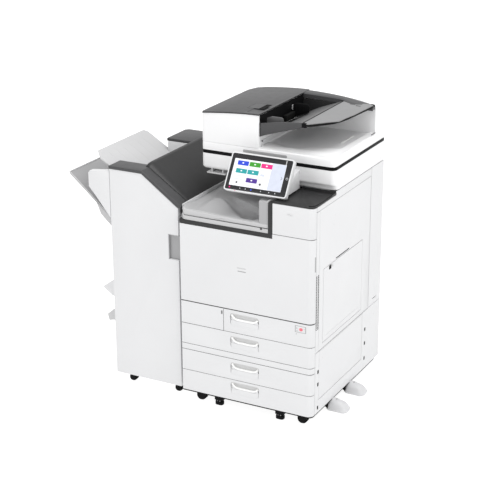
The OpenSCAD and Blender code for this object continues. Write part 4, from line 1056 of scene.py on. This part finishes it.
def shoe(number):
    """Moulded dome with a flange, a sloping top and a screw hole, on a dark pad and arm."""
    y0 = SHOE_Y + number * SHOE_PITCH
    rings = []
    for inset, z in ((5, 5), (1, 6.5), (0, 10), (0, 15), (2.2, 18), (3.4, 22), (6, 30), (9, 37), (13, 42), (18, 45),
                     (25, SHOE_Z1)):
        half = 33 - inset
        plan = [(281 + inset * 0.25, y0 - half, 12), (SHOE_X1 - inset * 1.25, y0 - half, 25),
                (SHOE_X1 - inset * 1.25, y0 + half, 25), (281 + inset * 0.25, y0 + half, 12)]
        rings.append([(p.x, p.y, z - 0.16 * max(0, p.x - 306) * (z / SHOE_Z1) ** 2) for p in fillet(plan, 8)])
    more = {"replaces": ("stabilizer_feet",)} if number == 0 else {}
    loft(f"shoe_{number}", rings, SHOE, **more)
    lathe(f"shoe_hole_{number}", "z", (311, y0, 0), [(43, 3.4), (SHOE_Z1 - 0.3, 3.4), (SHOE_Z1 - 0.2, 2.6)], MID,
          turns=24)
    lathe(f"shoe_pad_{number}", "z", (338, y0, 0), [(0, 20), (1, 22), (4, 22), (5.2, 20)], RUBBER)
    rim = [(y0 - 29, 9, 6), (y0 + 29, 9, 6), (y0 + 22, SHOE_Z1 - 2, 9), (y0 - 22, SHOE_Z1 - 2, 9)]
    prism(f"shoe_rim_{number}", "x", rim, 277.5, 281.4, BLACK, width=0.6)
    arm = [(254, 24), (279, 12), (284, 12), (284, 26), (256, 49)]
    prism(f"shoe_arm_{number}", "y", arm, y0 - 24, y0 + 16, BLACK, width=1)


def leveling_foot(number, x, y, top):
    """Threaded foot: round pad, neck, hexagon nut and the bracket it screws into."""
    more = {"replaces": ("leveling_feet",)} if number == 0 else {}
    prism(f"leveling_pad_{number}", "z", rounded(x - 18, y - 13, x + 18, y + 13, 12), 0, 16, BLACK, width=2.5,
          segments=3, **more)
    lathe(f"leveling_neck_{number}", "z", (x, y, 0), [(15, 12), (21, 12), (22, 9), (top, 8)], BLACK, turns=36)
    sixths = [math.radians(60 * k) for k in range(6)]
    nut = [(x + 13 * math.cos(a), y + 13 * math.sin(a)) for a in sixths]
    prism(f"leveling_nut_{number}", "z", nut, 17, 20.5, MID, width=0.5)
    if top > 45:
        prism(f"leveling_bracket_{number}", "z", rounded(x - 19, y - 12, x + 19, y + 12, 4), 21, 45, BLACK,
              width=1.5)


for shoe_number in (0, 1):
    shoe(shoe_number)
FEET = ((-143, 34, 50), (138, 34, 50), (-150, 520, 50), (150, 520, 50), (-600, 300, 40), (-400, 300, 40),
        (-480, 600, 40))  # x, y and top of each levelling foot
for foot_number, foot in enumerate(FEET):
    leveling_foot(foot_number, *foot)

# ---------------- inside and behind


PAPER_AT = {1: (-62, 380), 2: (-180, 325), 3: (-180, 205), 4: (-180, 112)}  # tray: left side, highest top
PAPER_Y0, PAPER_Y1, PAPER_RIGHT, PAPER_THICK = 70, 360, 210, 46  # the stacks: front, back, right side, height


def paper_stacks():
    """Sheets in the trays, with a faint edge, the fences that hold them and the ribs of the tray."""
    for number, (x0, z1) in PAPER_AT.items():
        body, box = f"tray_{number}", span(f"tray_{number}_box")
        floor_z = box[2] + 9
        top = min(z1, floor_z + PAPER_THICK)
        slabs([
            (f"paper_{number}", "z", (x0, PAPER_Y0, PAPER_RIGHT, PAPER_Y1, 0.6), floor_z, top, PAPER, body, 0),
            (f"paper_fold_{number}", "z", (x0 + 0.4, PAPER_Y0 + 0.4, PAPER_RIGHT - 0.4, PAPER_Y1 - 0.4, 0.6),
             top + 0.1, top + 0.5, PAPER, body, 0),
        ])
        fence_top = min(top + 8, box[5] - 2)
        slabs((f"side_fence_{number}_{i}", "x", (y, floor_z, y + 6, fence_top, 2), 40, 110, LIGHT, body, 0.8)
              for i, y in enumerate((62, 362)))
        pitch = (box[3] - box[0] - 60) / 3
        for i in range(4):
            x = box[0] + 30 + i * pitch
            rib = rounded(x - 2, box[4] - 6, x + 2, box[4] - 2.8, 0.8)
            prism(f"tray_rib_{number}_{i}", "z", rib, box[2] + 4, box[5] - 3, LIGHT, body)
        for i in range(5):
            x = -50 + 60 * i
            rib = rounded(x - 1.2, 10, x + 1.2, 25, 0.6)
            prism(f"front_rib_{number}_{i}", "z", rib, box[2] + 6, box[5] - 10, WHITE, body)


def toner_caps():
    """Round caps with grips on the toner bottles."""
    for i in range(4):
        x = -222 + 70 * i
        lathe(f"toner_cap_{i}", "y", (x, 0, 728), [(46.5, 10), (47, 18), (50, 23.5), (58, 24.4), (68, 24.4)], BLACK)
        prism(f"toner_grip_{i}", "z", rounded(x - 3, 42, x + 3, 48, 1.5), 716, 740, BLACK, width=0.8)


def door_ribs():
    """Stiffening ribs inside the front door and the upper right door."""
    for i in range(6):
        x = -240 + 96 * i
        prism(f"door_rib_{i}", "y", rounded(x - 1.2, 470, x + 1.2, 770, 0.8), 2.8, 12, WHITE, "front_door")
    for i, z in enumerate((520, 640)):
        prism(f"door_cross_rib_{i}", "y", rounded(LEFT + 12, z, RIGHT - 24, z + 2.4, 0.8), 2.8, 9, WHITE, "front_door")
    for i in range(5):
        rib = rounded(98.8 + 96 * i, 664, 101.2 + 96 * i, 890, 0.8)
        prism(f"side_door_rib_{i}", "x", rib, RIGHT - 12, RIGHT - 3, WHITE, "right_door")


def rear_details():
    """Screws, connector cover and feeder hinges on the back."""
    back = span("rear_cover")[4]
    head = [(back - 0.4, 4.5), (back + 0.1, 4.5), (back + 0.5, 3)]
    for i, (x, z) in enumerate(((-270, 930), (270, 930), (-270, 500), (270, 500), (-270, 80), (270, 80), (0, 930))):
        lathe(f"rear_screw_{i}", "y", (x, 0, z), head, STEEL, turns=20)
    prism("rear_connector_cover", "y", rounded(90, 760, 230, 860, 5), back - 0.2, back + 0.6, WHITE, width=0.4)
    for i in range(3):
        prism(f"rear_port_{i}", "y", rounded(104 + 42 * i, 780, 134 + 42 * i, 792, 2), back, back + 0.75, DARK)
    filler = [(LEFT + 1, 945.5), (100, 945.5), (100, 964.5), (LEFT + 1, 964.5)]
    prism("rear_filler", "y", filler, back - 3, back - 0.2, WHITE)
    y = SCAN_Y1
    hinge = [(y - 1, 1046, 2), (y + 4, 1046, 2), (y + 4, 1110, 2), (y - 1, 1110, 2)]
    for i, x in enumerate((-210, 210)):
        prism(f"feeder_hinge_{i}", "x", hinge, x - 28, x + 28, DARK, "feeder", width=1)


def inlet_pins():
    """Three flat pins in the power inlet."""
    back = span("power_inlet")[4]
    for i, (x, z) in enumerate(((204, 110), (220, 110), (212, 117))):
        prism(f"inlet_pin_{i}", "y", rounded(x - 1.2, z - 3, x + 1.2, z + 3, 0.6), back - 20, back - 5, STEEL)


paper_stacks()
toner_caps()
door_ribs()
rear_details()
inlet_pins()

# ---------------- stage, light and camera


def floor():
    bpy.ops.mesh.primitive_circle_add(vertices=96, radius=60, fill_type="NGON", location=(0, 0, -0.0005))
    obj = bpy.context.object
    obj.name = "floor"
    obj.data.materials.append(lit("floor", (0.3, 0.3, 0.3), 3.1, 0.005, 2, 3,
                                  **{"Roughness": 0.6, "Specular IOR Level": 0.2}))


def softbox(name, place, target, size, power):
    data = bpy.data.lights.new(name, "AREA")
    data.shape = "RECTANGLE"
    data.size, data.size_y = size
    data.energy = power
    obj = bpy.data.objects.new(name, data)
    obj.location = place
    obj.rotation_euler = (Vector(target) - Vector(place)).to_track_quat("-Z", "Y").to_euler()
    bpy.context.scene.collection.objects.link(obj)


def lights():
    world = bpy.data.worlds.new("studio")
    world.use_nodes = True
    background = world.node_tree.nodes["Background"]
    background.inputs["Color"].default_value = (1, 1, 1, 1)
    background.inputs["Strength"].default_value = 0.88
    bpy.context.scene.world = world
    middle = (0, 0, 0.7)
    softbox("top", (0.9, -0.5, 4.1), middle, (2.4, 2.0), 68)
    softbox("right", (4.0, -1.5, 2.2), middle, (2.5, 2.5), 22)
    softbox("front", (-1.5, -4.5, 2.6), middle, (3.0, 2.0), 28)


def camera():
    """The viewpoint: a long lens in front, to the right and above."""
    yaw, pitch, roll = math.radians(27.65), math.radians(20.22), math.radians(-0.19)
    data = bpy.data.cameras.new("camera")
    data.lens = 99.6
    data.sensor_width = 36
    data.shift_x = -0.0034
    data.shift_y = -0.0102
    obj = bpy.data.objects.new("camera", data)
    obj.location = at(2378, -4488, 2611)
    forward = Vector((-math.sin(yaw) * math.cos(pitch), math.cos(yaw) * math.cos(pitch), -math.sin(pitch)))
    obj.rotation_euler = (forward.to_track_quat("-Z", "Y").to_matrix() @ Matrix.Rotation(roll, 3, "Z")).to_euler()
    bpy.context.scene.collection.objects.link(obj)
    bpy.context.scene.camera = obj


floor()
lights()
camera()
bpy.context.scene.view_settings.view_transform = "Standard"
